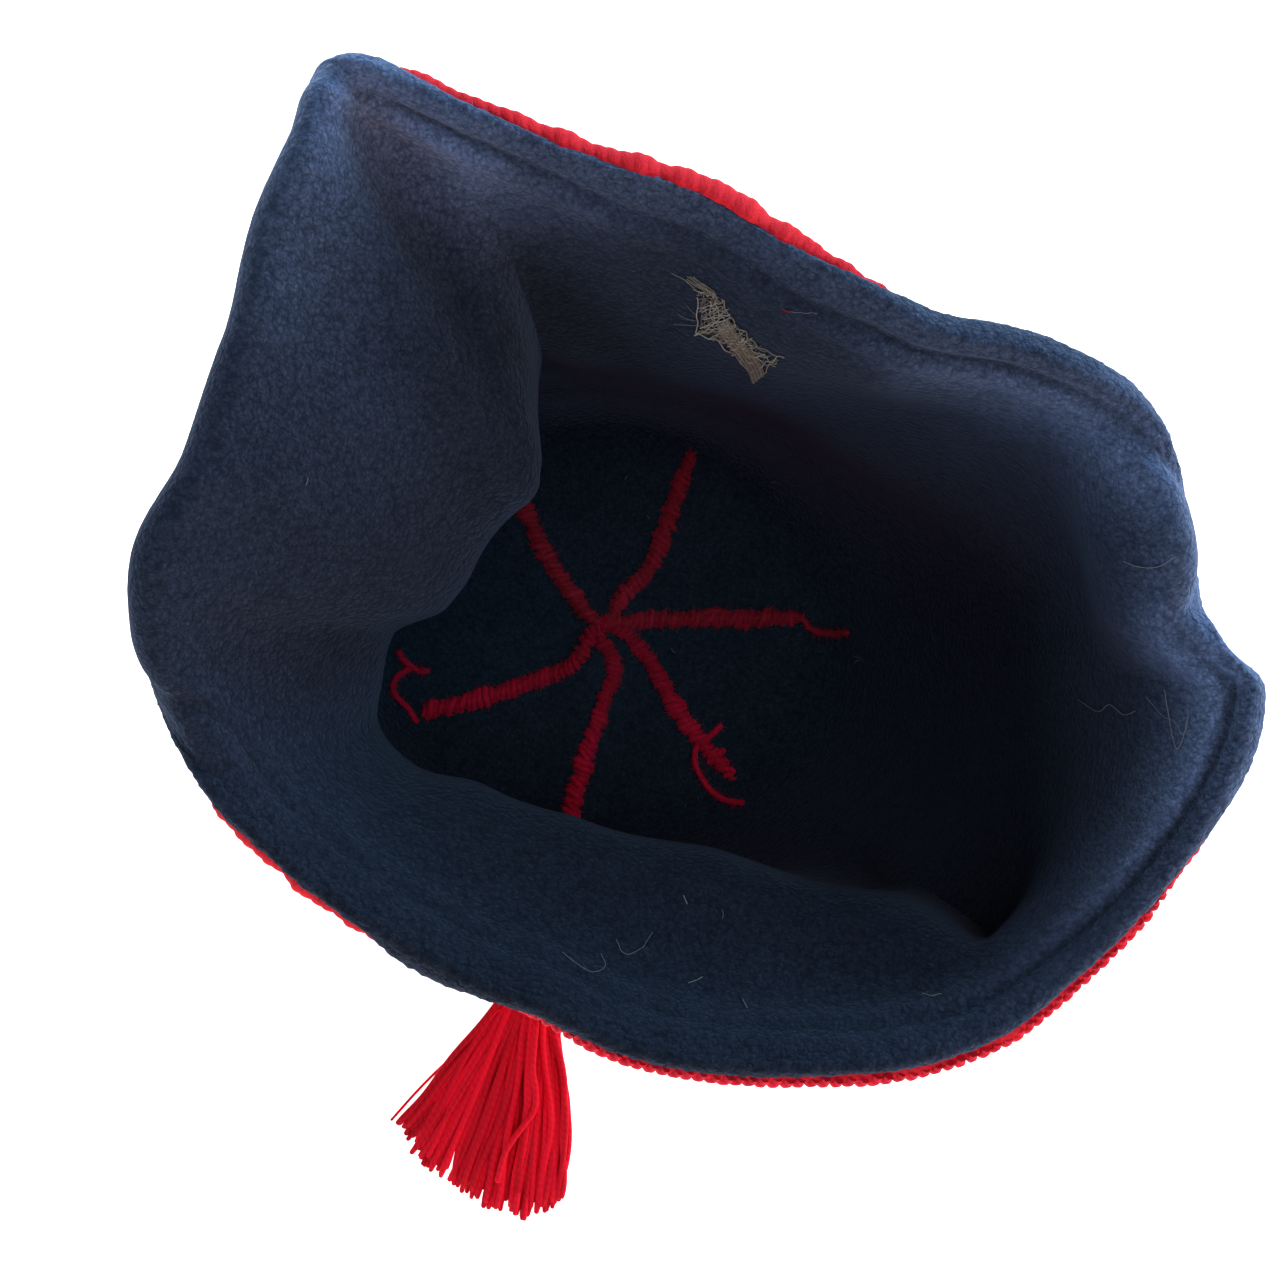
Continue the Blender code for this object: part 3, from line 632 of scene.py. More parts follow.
def leant(tree, turned, least, most, seed):
    """Rotations that each lean at random from the given ones."""
    lean = node(tree, "FunctionNodeEulerToRotation", {}, chance(tree, least, most, seed, "FLOAT_VECTOR"))
    return node(tree, "FunctionNodeRotateRotation", {"rotation_space": "LOCAL"}, turned, lean)


# Overcast stitches: an arch of yarn over a line at each step along it, turned by the line's mark
# up, a little uneven. The hem's edge and the crown's seams are both made with it.
tree, given = new_tree(
    "Overcast stitches", Pitch="Float", Width="Float", Height="Float", Slant="Float",
    Yarn="Float", Uneven="Float", Seed="Int", Material="Material")
curve = node(tree, "GeometryNodeMeshToCurve", {}, given["Geometry"])
spots = node(tree, "GeometryNodeCurveToPoints", {"mode": "LENGTH"}, curve, given["Pitch"])
turned = node(tree, "FunctionNodeAlignRotationToVector", {"axis": "X"}, None, 1.0, spots.outputs["Tangent"])
turned = node(tree, "FunctionNodeAlignRotationToVector", {"axis": "Z", "pivot_axis": "X"},
              turned, 1.0, marked(tree, "up", "FLOAT_VECTOR"))
least = scaled(tree, (-0.35, -0.30, -0.45), given["Uneven"])
most = scaled(tree, (0.35, 0.30, 0.45), given["Uneven"])
turned = leant(tree, turned, least, most, given["Seed"])
half_width, half_slant = times(tree, given["Width"], 0.5), times(tree, given["Slant"], 0.5)
start = vector(tree, times(tree, half_slant, -1.0), times(tree, half_width, -1.0), 0.0)
top = vector(tree, 0.0, 0.0, times(tree, given["Height"], 2.0))
end = vector(tree, half_slant, half_width, 0.0)
arch = node(tree, "GeometryNodeCurveQuadraticBezier", {}, 6, start, top, end)
arch, along_it = measured(tree, arch, "Length")
ring = node(tree, "GeometryNodeCurvePrimitiveCircle", {"mode": "RADIUS"}, 6, 1.0)
loop = node(tree, "GeometryNodeCurveToMesh", {}, arch, ring, given["Yarn"], True)
size = chance(tree, plus(tree, given["Uneven"], -0.25, 1.0), plus(tree, given["Uneven"], 0.18, 1.0),
              given["Seed"])
size = times(tree, size, marked(tree, "swell"))
shaded = node(tree, "GeometryNodeStoreNamedAttribute", {"data_type": "FLOAT", "domain": "POINT"},
              spots, None, "shade", chance(tree, 0.2, 0.8, given["Seed"]))
row = node(tree, "GeometryNodeInstanceOnPoints", {}, shaded, Instance=loop, Rotation=turned, Scale=size)
real = node(tree, "GeometryNodeRealizeInstances", {}, row)
overcast_tree = end_tree(tree, yarn_map(tree, real, 0.0, along_it), given["Material"])

# The bound-off edge lies on the hem's roll, and sinks into it where its stitches hardly show.
EDGE_POINTS = 1400
EDGE_SINK = 0.0016
EDGE_RISE = 0.0008
EDGE_OUTWARDS = 0.0009

edge_directions = even_columns(EDGE_POINTS)
points, inward, along, _ = wall(edge_directions, (6.9, 7.0))
rolled = around(ROLLED_ROWS, edge_directions)[:, 0]
standing = around(BUMP_ROWS, edge_directions)[:, 0]
shown = np.clip(1.0 - (rolled - 0.45) / 0.45, 0.0, 1.0) * np.clip((standing - 0.35) / 0.55, 0, 1)
edge_in = 0.5 * KNIT_WALL - np.maximum(-rolled, 0.0) * 0.5 * ROLL_OVER
beyond = -np.maximum(rolled, 0) * HEM_PULLED_IN + EDGE_SINK * (shown - 1.0) + EDGE_RISE
edge = points[-1] - inward[-1] * (edge_in + EDGE_OUTWARDS * shown)[:, None] + along[-1] * beyond[:, None]
base = as_object("hem_edge_line", edge + CROWN, [(i, (i + 1) % EDGE_POINTS) for i in range(EDGE_POINTS)],
                 [], up=along[-1] - inward[-1] * 0.7, swell=0.35 + 0.65 * shown)
hem_yarn = red_yarn("Hem yarn", (0.42, 0.002, 0.008), (0.98, 0.010, 0.034))
bound_edge = worked(base, overcast_tree, "knit_hem_stitches", Pitch=0.00262, Width=0.0040, Height=0.0011,
                    Slant=0.0021, Yarn=0.00102, Uneven=0.30, Seed=5, Material=hem_yarn)
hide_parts("knit_shell")
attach(bound_edge, "root")


# Fleece lining: navy short-pile fleece, cut in the hat's own form and sewn to the knit along the
# hem. Stitches 4 to 9.5 mm in draw it down, and its cut edge is rolled over the knit in places.
FLEECE_WALL = 0.0031
FLEECE_COVER = 0.0007
FLEECE_DRAWN_BACK = 0.0004
DRAWN_BACK_REACH = 0.012
EDGE_STEPS = 9
EDGE_REACH = 0.0019
TUCKED_UNDER = -0.6
HEM_STITCH_DEPTH = 0.0016
HEM_STITCH_WIDTH = 0.0017
# Painted shade along the stitches' groove: how dark, and how wide.
HEM_STITCH_PAINTED_SHADE = 0.40
HEM_STITCH_PAINTED_SHADE_WIDTH = 0.0011
PUFF = 0.0006
PUFF_INWARDS = 0.0040
PUFF_WIDTH = 0.0025
# Where the painted shade on the hem strip starts past the stitches, and how soon it fades.
PAINTED_SHADE_FROM = 0.0022
PAINTED_SHADE_FADE = 0.0020
FUZZ_BAND = 0.004
LINING_COLUMNS = 630
RIM_PIECE_FROM = 26
CRUMBS_TO_A_METRE = 780.0
CRUMB_BEND = 1.5
CRUMB_HEIGHT = 0.00055
CRUMBS_ON_WALL = 0.13
STITCH_ROWS = np.array((  # direction, the hem's stitches: how deep, how far in, how much painted shade on the hem beyond
    (0, 0.5, 0.0055, 0.00), (10, 0.6, 0.0045, 0.10), (20, 0.6, 0.0040, 0.25), (32, 1.0, 0.0054, 0.55),
    (42, 1.0, 0.0060, 0.45), (60, 0.6, 0.0080, 0.25), (80, 0.5, 0.0085, 0.10), (96, 0.9, 0.0064, 0.25),
    (108, 1.1, 0.0060, 0.45), (113, 0.6, 0.0064, 0.00), (118, 0.35, 0.0070, 0.00),
    (150, 0.6, 0.0095, 0.00), (190, 0.5, 0.0095, 0.00), (220, 0.35, 0.0095, 0.00),
    (260, 0.3, 0.0095, 0.00), (300, 0.4, 0.0085, 0.10), (320, 0.8, 0.0060, 0.35),
    (338, 1.1, 0.0044, 0.62), (345, 1.2, 0.0044, 0.62), (353, 1.2, 0.0041, 0.58),
    (357, 0.8, 0.0048, 0.15),
), float)
PAINTED_LIGHT_ROWS = np.array((  # direction, how much a painted highlight lightens the pile near the hem (painted shade below 0), how far it reaches
    (0, 7.0, 0.012), (12, 7.0, 0.017), (22, 5.2, 0.017), (32, 4.6, 0.016), (45, 3.0, 0.010),
    (60, 2.6, 0.007), (76, 2.6, 0.008), (96, 3.6, 0.018), (108, 9.0, 0.030), (118, 6.0, 0.032),
    (130, 2.6, 0.046), (150, 0.8, 0.060), (190, 0.4, 0.040), (225, -0.1, 0.050), (262, -0.2, 0.055),
    (290, 0.1, 0.030), (320, 2.2, 0.012), (338, 5.4, 0.014), (345, 9.0, 0.014), (352, 9.4, 0.014),
), float)

lining_directions = even_columns(LINING_COLUMNS)
lining_rings = ring_numbers((0.04, 49), (1, 43), (2, 40), (3, 46), (4, 86), (5, 13), (6, 20), (7, 0))
points, inward, along, from_hem = wall(lining_directions, lining_rings)
rolled = around(ROLLED_ROWS, lining_directions)[:, 0]
drawn, stitched_at, hem_painted_shade = around(STITCH_ROWS, lining_directions).T
stitch = np.exp(-((from_hem - stitched_at) / HEM_STITCH_WIDTH) ** 2)
puff = np.exp(-((from_hem - stitched_at - PUFF_INWARDS) / PUFF_WIDTH) ** 2)
thick = FLEECE_WALL + (PUFF * puff - HEM_STITCH_DEPTH * stitch) * drawn[None]
held_back = np.maximum(-rolled, 0.0) * FLEECE_DRAWN_BACK
tucked = 1.0 - 1.3 * np.maximum(-rolled, 0.0)
pile = points + inward * thick[..., None]
pile = pile - along * (held_back[None] * np.clip(1 - from_hem / DRAWN_BACK_REACH, 0, 1))[..., None]

# The cut edge goes round from the pile to the knit, and its last row is tucked under.
knit_cover = np.where(rolled > 0, rolled * (KNIT_WALL + FLEECE_COVER), 0.4 * rolled * FLEECE_WALL)
centre, half = 0.5 * (FLEECE_WALL - knit_cover), 0.5 * (FLEECE_WALL + knit_cover)
edge_turns = [(turn, math.sin(turn)) for turn in np.linspace(0.0, math.pi, EDGE_STEPS + 1)[1:]]
edge_rows, edge_ways = [], []
for turn, reach in edge_turns + [(math.pi, TUCKED_UNDER)]:
    beyond = np.minimum(half, EDGE_REACH) * tucked * reach - held_back
    edge_rows.append(points[-1] + inward[-1] * (centre + half * math.cos(turn))[:, None]
                     + along[-1] * beyond[:, None])
    edge_ways.append(inward[-1] * math.cos(turn) + along[-1] * math.sin(turn))
whole = np.concatenate((pile, edge_rows))
ways = np.concatenate((inward, edge_ways))
distance = np.concatenate((from_hem, np.zeros((len(edge_rows), LINING_COLUMNS))))

# Painted light in the pile: a painted highlight near the hem, painted shade past the stitches, darkest at
# them.
lighter, reach = around(PAINTED_LIGHT_ROWS, lining_directions).T
# Painted highlight, strongest at the hem and fading inwards; where negative it is painted shade.
brushed = lighter[None] * np.exp(-(distance / reach[None]) ** 2)
# Painted shade on the hem strip between the stitches and the edge.
past_stitch = np.clip((stitched_at + PAINTED_SHADE_FROM - distance) / PAINTED_SHADE_FADE, 0, 1)
brushed = brushed * (1 - hem_painted_shade * past_stitch ** 2 * (3 - 2 * past_stitch))
# Painted shade, darkest along the stitches' groove.
brushed = brushed - HEM_STITCH_PAINTED_SHADE * (1 + brushed) * drawn * np.exp(
    -((distance - stitched_at) / HEM_STITCH_PAINTED_SHADE_WIDTH) ** 2)
edge_fuzz = np.clip(1 - distance / FUZZ_BAND, 0, 1) ** 0.5
edge_fuzz[-2:] = 0.0

cuts = [0, lining_rings.index(2), lining_rings.index(4) + RIM_PIECE_FROM, len(whole) - 1]


def product(tree, value, factor):
    """A value times a number, by a Math node where the value is another node's output."""
    return times(tree, value, factor) if isinstance(value, bpy.types.NodeSocket) else value * factor


def crumbs(tree, spot, per_metre, bending):
    """How high the pile's crumbs stand at a spot, in a material or in a Geometry Nodes tree: soft
    uneven cells on a rolling ground."""
    bend = node(tree, "ShaderNodeTexNoise", {}, spot, product(tree, per_metre, 0.8), 2.0).outputs["Color"]
    bend = node(tree, "ShaderNodeVectorMath", {"operation": "SUBTRACT"}, bend, (0.5, 0.5, 0.5))
    bent = node(tree, "ShaderNodeVectorMath", {"operation": "ADD"}, spot, scaled(tree, bend, bending))
    cells = node(tree, "ShaderNodeTexVoronoi", {}, bent, per_metre).outputs["Distance"]
    ground = node(tree, "ShaderNodeTexNoise", {}, spot, product(tree, per_metre, 0.3), 3.0)
    return plus(tree, ground, 0.9, plus(tree, cells, -1.3, 0.40))


# Pile crumbs: the fleece's clumps raise its surface along the mark way, most at the hem.
tree, given = new_tree("Fleece crumbs", Crumbs_to_a_metre="Float", Crumb_height="Float",
                       Material="Material")
spot = first(node(tree, "GeometryNodeInputPosition", {}))
bending = sums(tree, "DIVIDE", CRUMB_BEND, given["Crumbs to a metre"])
rise = crumbs(tree, spot, given["Crumbs to a metre"], bending)
height = times(tree, given["Crumb height"],
               plus(tree, marked(tree, "fuzz"), 1.0 - CRUMBS_ON_WALL, CRUMBS_ON_WALL))
shift = scaled(tree, marked(tree, "way", "FLOAT_VECTOR"),
               times(tree, sums(tree, "SUBTRACT", rise, 0.4), height))
raised = node(tree, "GeometryNodeSetPosition", {}, given["Geometry"], Offset=shift)
crumb_tree = end_tree(tree, raised, given["Material"])


def fleece(name, dark, middle, light):
    """Short-pile fleece: crumbs of pile, lighter on top, over a soft mottle, with a faint
    bluish sheen. A mark of painted light raises the colour and the sheen as a painted highlight,
    and lowers the colour as painted shade where it is below 0."""
    material, tree, shader = cloth_shader(name, 1.0, 0.20, (0.35, 0.48, 0.75))
    spot = node(tree, "ShaderNodeTexCoord", {}).outputs["Object"]
    crumb = crumbs(tree, spot, CRUMBS_TO_A_METRE, CRUMB_BEND / CRUMBS_TO_A_METRE)
    hairs = mottle(tree, scale=1700.0, detail=5.0)
    cloud = mottle(tree, scale=38.0, detail=2.0)
    tone = plus(tree, crumb, 0.23, plus(tree, hairs, 0.55, times(tree, cloud, 0.14)))
    colour = ramp(tree, tone, (0.26, dark), (0.49, middle), (0.76, light))
    # Painted light: the colour is scaled by the painted highlight or shade, and the sheen rises with it.
    colour = scaled(tree, colour, sums(tree, "ADD", mark(tree, "brushed"), 1.0))
    tree.links.new(colour, shader.inputs["Base Color"])
    sheen = plus(tree, mark(tree, "brushed"), 0.08, 0.20)
    tree.links.new(sheen, shader.inputs["Sheen Weight"])
    rough = relief(tree, crumb, 0.0004, 0.7)
    tree.links.new(relief(tree, hairs, 0.0004, 0.7, rough), shader.inputs["Normal"])
    return material


navy_fleece = fleece("Navy fleece", (0.0058, 0.0082, 0.0155), (0.0148, 0.0195, 0.0345),
                     (0.034, 0.046, 0.078))
lining = []
for name, low, high in zip(("crown", "wall", "rim"), cuts, cuts[1:]):
    rows = slice(low, high + 1)
    base = wall_mesh("lining_base", whole[rows], outwards=False, middle=low == 0,
                     way=ways[rows], brushed=brushed[rows], fuzz=edge_fuzz[rows])
    piece = worked(base, crumb_tree, f"fleece_lining_{name}", Crumbs_to_a_metre=CRUMBS_TO_A_METRE,
                   Crumb_height=CRUMB_HEIGHT, Material=navy_fleece)
    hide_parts("fleece_lining")
    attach(piece, "root")
    lining.append(piece)


# Crown seams: six ridges of red yarn, overcast where the crown's gores are sewn through to the
# lining. They meet in the middle of the crown and make a star, with some ends left loose.
SEAM_WIDTH = 0.0040
SEAM_HEIGHT = 0.0025
SEAM_PITCH = 0.0016
SEAM_SLANT = 0.0017
SEAM_YARN = 0.00078
SEAM_STEP = 0.00062
SEAM_LAID_FROM = 0.0085
SEAM_WANDER = 0.00035
CORE_RADIUS = 0.0009
CORE_ASIDE = 0.0007
CORE_LIFT = 0.0008
TOP_CORE_LIFT = 0.0013
STITCH_LIFT = 0.0004
END_YARN = 0.00085
END_STEP = 0.0008
# The painted shade toward the crown's middle fades out between these distances from it.
CENTRE_SHADE_FROM, CENTRE_SHADE_TO = 0.008, 0.040
SEAM_ROUTES = (  # how thick the tip is, and the seam's route over the crown in millimetres
    (0.75, ((0.0, 0.4), (2.2, 3.4), (6.5, 9.6), (13.4, 17.6), (19.0, 34.0), (24.4, 48.0))),
    (0.60, ((0.4, 0.2), (3.5, 0.7), (9.0, 1.2), (21.7, 1.5), (37.3, 1.7), (54.9, 1.9))),
    (0.70, ((0.2, 0.0), (3.6, -1.6), (9.0, -5.8), (15.0, -14.5), (20.6, -24.2), (27.6, -33.4),
            (35.7, -42.5))),
    (1.05, ((0.0, 0.0), (-1.2, -3.0), (0.3, -6.6), (1.6, -12.2), (-0.5, -19.5), (-5.2, -34.6),
            (-10.0, -54.0))),
    (1.10, ((-0.6, 0.2), (-3.4, -3.2), (-5.6, -8.6), (-11.2, -12.4), (-22.3, -16.4), (-34.7, -20.5),
            (-50.5, -24.2))),
    (0.80, ((-0.4, 0.4), (-4.2, 2.8), (-9.2, 8.8), (-15.4, 17.8), (-22.2, 31.6), (-29.1, 46.4))),
)
LOOSE_ENDS = (  # the seam each hangs on, and its route from the middle of the crown in millimetres
    (2, ((49.0, 2.6, 7.0), (54.6, 2.0, 7.0), (56.6, -0.3, 7.2), (59.3, -2.0, 7.9), (63.5, -2.5, 10.8),
         (67.5, -2.3, 15.1))),
    (2, ((26.0, 2.0, 8.5), (30.0, 4.0, 8.9), (34.0, 3.0, 8.9), (39.5, -0.8, 7.4))),
    (3, ((28.5, -32.0, 8.0), (25.6, -33.6, 7.1), (25.1, -38.5, 7.2), (27.3, -43.2, 7.1),
         (30.1, -46.8, 7.5), (33.9, -49.1, 9.5), (38.4, -49.7, 12.2))),
    (3, ((26.5, -33.0, 8.0), (29.8, -30.4, 7.0), (32.1, -28.1, 7.1))),
    (3, ((29.0, -38.2, 8.0), (31.2, -36.4, 7.1), (32.9, -34.8, 7.0))),
    (5, ((-49.5, -12.8, 7.2), (-52.0, -12.9, 7.5), (-54.3, -11.6, 8.2), (-56.0, -9.7, 9.8),
         (-57.0, -7.5, 11.0))),
    (5, ((-53.3, -11.9, 8.0), (-56.0, -13.0, 9.6), (-58.5, -15.0, 12.0), (-59.3, -17.2, 13.5),
         (-59.0, -19.5, 13.5), (-57.0, -21.4, 12.5), (-54.6, -23.6, 11.5), (-52.6, -27.0, 11.0))),
)

lining_verts, lining_faces = [], []
for piece in lining:
    base = len(lining_verts)
    lining_verts += [tuple(vertex.co) for vertex in piece.data.vertices]
    lining_faces += [[base + corner for corner in face.vertices] for face in piece.data.polygons]
lining_surface = BVHTree.FromPolygons(lining_verts, lining_faces)


def laid(spots, lift):
    """Spots moved onto the fleece and lifted off it, and the directions away from it there."""
    places, ways = [], []
    for spot in spots:
        near, way, _, _ = lining_surface.find_nearest(Vector(spot))
        places.append(near + way * lift)
        ways.append(way)
    return np.array(places), np.array(ways)


def laid_line(millimetres, spacing, lift):
    """A smooth line that lies on the fleece, from spots measured from the middle of the crown."""
    line = smooth_line(np.array(millimetres) * 0.001, spacing) + CROWN
    return smooth_line(laid(line, lift)[0], spacing)


# Loose fibres: fine bent hairs that stand off a surface at random, most where its mark fuzz is high.
tree, given = new_tree("Loose fibres", Density="Float", Fibre_length="Float",
                       Fibre_thickness="Float", Lean="Float", Seed="Int", Material="Material")
density = times(tree, given["Density"], marked(tree, "fuzz"))
spots = node(tree, "GeometryNodeDistributePointsOnFaces", {"distribute_method": "RANDOM"},
             given["Geometry"], None, density, given["Seed"])
back = times(tree, given["Lean"], -1.0)
turned = leant(tree, spots.outputs["Rotation"], vector(tree, back, back, 0.0),
               vector(tree, given["Lean"], given["Lean"], 2 * math.pi), given["Seed"])
length = given["Fibre length"]
low = vector(tree, 0.0, 0.0, times(tree, length, -0.1))
middle = vector(tree, 0.0, 0.0, times(tree, length, 0.6))
high = vector(tree, times(tree, length, 0.5), 0.0, times(tree, length, 0.9))
hair = node(tree, "GeometryNodeCurveQuadraticBezier", {}, 2, low, middle, high)
taper = plus(tree, node(tree, "GeometryNodeSplineParameter", {}).outputs["Factor"], -0.7, 1.0)
ring = node(tree, "GeometryNodeCurvePrimitiveCircle", {"mode": "RADIUS"}, 3, 1.0)
hair = node(tree, "GeometryNodeCurveToMesh", {}, hair, ring,
            times(tree, taper, given["Fibre thickness"]), True)
hairs = node(tree, "GeometryNodeInstanceOnPoints", {}, spots, Instance=hair, Rotation=turned,
             Scale=chance(tree, 0.45, 1.15, given["Seed"]))
fibre_tree = end_tree(tree, hairs, given["Material"])

# Two copies of one yarn: one for the seams on the lit side of the hollow, and a darker one for the others,
# which is painted shade.
lit_seam_yarn = red_yarn("Overcast red yarn", (0.30, 0.001, 0.012), (0.90, 0.005, 0.050))
shaded_seam_yarn = red_yarn("Rubbed overcast yarn", (0.16, 0.003, 0.008), (0.46, 0.014, 0.036))
fluff = red_yarn("Yarn fluff", (0.30, 0.001, 0.010), (0.74, 0.010, 0.030), ply_share=0.0)

# The lit seams' yarn grows darker toward the middle of the crown, deep in the hollow: painted shade.
tree = lit_seam_yarn.node_tree
socket = tree.nodes["Principled BSDF"].inputs["Base Color"]
spot = node(tree, "ShaderNodeTexCoord", {}).outputs["Object"]
away = node(tree, "ShaderNodeVectorMath", {"operation": "DISTANCE"}, spot, tuple(CROWN))
share = node(tree, "ShaderNodeMapRange", {}, away, CENTRE_SHADE_FROM, CENTRE_SHADE_TO, 0.42, 1.0)
tree.links.new(scaled(tree, socket.links[0].from_socket, share), socket)

rng = np.random.default_rng(3)
for number, (tip_size, route) in enumerate(SEAM_ROUTES, start=1):
    # Seams 3, 4 and 5 get the lit copy, the rest the painted-shade copy.
    seam_yarn = lit_seam_yarn if number in (3, 4, 5) else shaded_seam_yarn
    line = smooth_line(np.array(route) * 0.001, SEAM_STEP)
    s = np.linspace(0.0, 1.0, len(line))
    wander = np.interp(s, np.linspace(0, 1, 15), rng.uniform(-SEAM_WANDER, SEAM_WANDER, 15))
    sideways = np.gradient(line, axis=0)[:, ::-1] * (-1, 1)
    sideways /= np.linalg.norm(sideways, axis=1)[:, None]
    line = line + sideways * wander[:, None]
    flat, ways = laid(np.hstack((line, np.full((len(line), 1), SEAM_LAID_FROM))) + CROWN, 0.0)
    swell = np.interp(s, np.linspace(0, 1, 19), rng.uniform(0.90, 1.12, 19))
    swell *= np.interp(s, (0, 0.06, 0.20, 0.90, 0.97, 1.0),
                       (0.72, 0.78, 0.95, 1.0, tip_size, 0.6 * tip_size))
    sideways = np.cross(ways, line_frame(flat)[0])
    cores = [flat + ways * CORE_LIFT + sideways * (aside * CORE_ASIDE) * swell[:, None]
             for aside in (-1, 1)]
    cores.append(flat + ways * TOP_CORE_LIFT)
    # The cores get a low shade, darker than the stitches over them: painted shade in the gaps.
    parts = [spun("seam_core", cores, [CORE_RADIUS * swell] * 3, seam_yarn, 8, (0.2, 0.2, 0.25))]
    line = as_object("seam_line", flat + ways * STITCH_LIFT,
                     [(i, i + 1) for i in range(len(flat) - 1)], [], up=ways, swell=swell)
    parts.append(worked(line, overcast_tree, "seam_stitches", Pitch=SEAM_PITCH, Width=SEAM_WIDTH,
                        Height=SEAM_HEIGHT - CORE_RADIUS, Slant=SEAM_SLANT, Yarn=SEAM_YARN,
                        Uneven=0.6, Seed=number, Material=seam_yarn))
    ends = [laid_line(route, END_STEP, END_YARN) for seam, route in LOOSE_ENDS if seam == number]
    if ends:
        parts.append(spun("seam_ends", ends, [END_YARN * rng.uniform(0.9, 1.1, len(end)) for end in ends],
                          seam_yarn, 8, rng.uniform(0.4, 0.7, len(ends))))
    for part in parts[1:]:
        haired = part.data.attributes.new("fuzz", "FLOAT", "POINT")
        haired.data.foreach_set("value", np.ones(len(part.data.vertices), np.float32))
        parts.append(worked(part, fibre_tree, "seam_fluff", keep=True, Density=1.3e6,
                            Fibre_length=0.0013, Fibre_thickness=0.00011, Lean=0.9, Seed=number,
                            Material=fluff))
    seam = parts[0]
    with bpy.context.temp_override(active_object=seam, selected_editable_objects=parts):
        bpy.ops.object.join()
    seam.name = f"crown_seam_{number}_yarn"
    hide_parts(f"crown_seam_{number}")
    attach(seam, "root")


# Label stub: what is left of a woven tape that was cut off, an open beige mesh with a solid strip
# down one side, drawn in where it is sewn down and frayed at both ends. It is bare.
LABEL_ROWS = np.array((  # share of its length, left edge and right edge from the crown in millimetres
    (0.0, 21.9, 69.3, 26.4, 68.7), (0.2, 22.0, 65.2, 28.2, 66.1), (0.4, 21.8, 62.3, 29.9, 63.7),
    (0.55, 25.6, 61.0, 32.2, 61.4), (0.8, 31.5, 57.0, 35.2, 58.6), (1.0, 35.1, 53.8, 41.0, 56.1),
))
LABEL_RUN = (0.0135, -0.0140)
STRIP_ROWS = np.array((  # share of the length, where the solid strip starts and ends across it
    (0.36, 0.66, 0.92), (0.55, 0.30, 0.78), (0.8, 0.12, 0.66), (1.0, 0.00, 0.36),
))
STRIP_THREADS = 9
STRIP_THREAD_RADIUS = 0.00017
LONG_THREADS = 10
CROSS_THREADS = 40
FRAYED_THREADS = 12
SIDE_THREADS = 3
SIDE_THREAD_RADIUS = 0.00005


def dropped(spots, lift):
    """Spots let fall straight down onto the fleece, and lifted off it."""
    places = []
    for spot, rise in zip(spots, np.broadcast_to(lift, (len(spots),))):
        hit, way, _, _ = lining_surface.ray_cast(Vector((spot[0], spot[1], 0.3)), Vector((0, 0, -1)))
        places.append(hit + (way if way.z > 0 else -way) * float(rise))
    return np.array(places)


def on_label(along, across, lift):
    """Spots on the stub from shares of its length and width, dropped onto the fleece."""
    along, across = np.broadcast_arrays(np.asarray(along, float), across)
    edges = [np.interp(along, LABEL_ROWS[:, 0], LABEL_ROWS[:, k]) for k in (1, 2, 3, 4)]
    left, right = np.stack(edges[:2], axis=1), np.stack(edges[2:], axis=1)
    spots = (left + (right - left) * across[:, None]) * 0.001 + CROWN[:2]
    spots += (np.maximum(along - 1.0, 0) + np.minimum(along, 0))[:, None] * LABEL_RUN
    return dropped(spots, lift)


rng = np.random.default_rng(7)
threads, radii, shades = [], [], []
for k in range(STRIP_THREADS):
    s = np.linspace(0.37 + 0.03 * rng.random(), 1.0, 26)
    low, high = (np.interp(s, STRIP_ROWS[:, 0], STRIP_ROWS[:, side]) for side in (1, 2))
    across = low + (high - low) * (k + 0.5) / STRIP_THREADS
    threads.append(on_label(s, across, 0.0007 + 0.0001 * (k % 2)))
    radii.append(STRIP_THREAD_RADIUS)
    shades.append(0.25 + 0.12 * (k % 2))
for k in range(LONG_THREADS):
    s = np.linspace(rng.uniform(-0.03, 0.12), rng.uniform(0.85, 1.02), 40)
    across = (k + rng.uniform(0.2, 0.8)) / LONG_THREADS
    across = across + rng.uniform(0.01, 0.04) * np.sin(s * rng.uniform(14, 40) + k)
    threads.append(on_label(s, across, 0.0005 + 0.0003 * np.sin(s * rng.uniform(20, 60) + 2 * k)))
    radii.append(rng.uniform(0.00008, 0.00014))
    shades.append(rng.uniform(0.2, 1.0))
for k in range(CROSS_THREADS):
    across = np.linspace(rng.uniform(-0.03, 0.25), rng.uniform(0.75, 1.03), 14)
    along = (k + rng.uniform(0, 0.9)) / CROSS_THREADS + rng.uniform(-0.05, 0.09) * (across - 0.5)
    along = along + rng.uniform(0.004, 0.014) * np.sin(across * rng.uniform(8, 26) + k)
    threads.append(on_label(along, across, 0.0006 + 0.0003 * np.sin(across * 22 + 3 * k)))
    radii.append(rng.uniform(0.00007, 0.00013))
    shades.append(rng.uniform(0.2, 1.0))
s = np.linspace(0.0, 1.0, 9)
for k in range(FRAYED_THREADS):
    reach, drift = rng.uniform(0.06, 0.30), rng.uniform(-0.9, 0.2)
    threads.append(on_label(0.03 - reach * s, rng.uniform(0, 1) + drift * s ** 1.5, 0.0006 + 0.0003 * s))
    radii.append(rng.uniform(0.00005, 0.00008))
    shades.append(rng.uniform(0.2, 0.7))
for k in range(SIDE_THREADS):
    along, across = 0.20 + 0.05 * k - rng.uniform(0.06, 0.12) * s, 0.05 - rng.uniform(0.4, 1.0) * s
    threads.append(on_label(along, across, 0.0006))
    radii.append(SIDE_THREAD_RADIUS)
    shades.append(rng.uniform(0.2, 0.6))
material, tree, shader = cloth_shader("Beige label threads", 0.75, 0.25, (0.9, 0.85, 0.8))
flecks = mottle(tree, scale=900.0, detail=3.0)
tone = plus(tree, flecks, 0.45, times(tree, mark(tree, "shade"), 0.75))
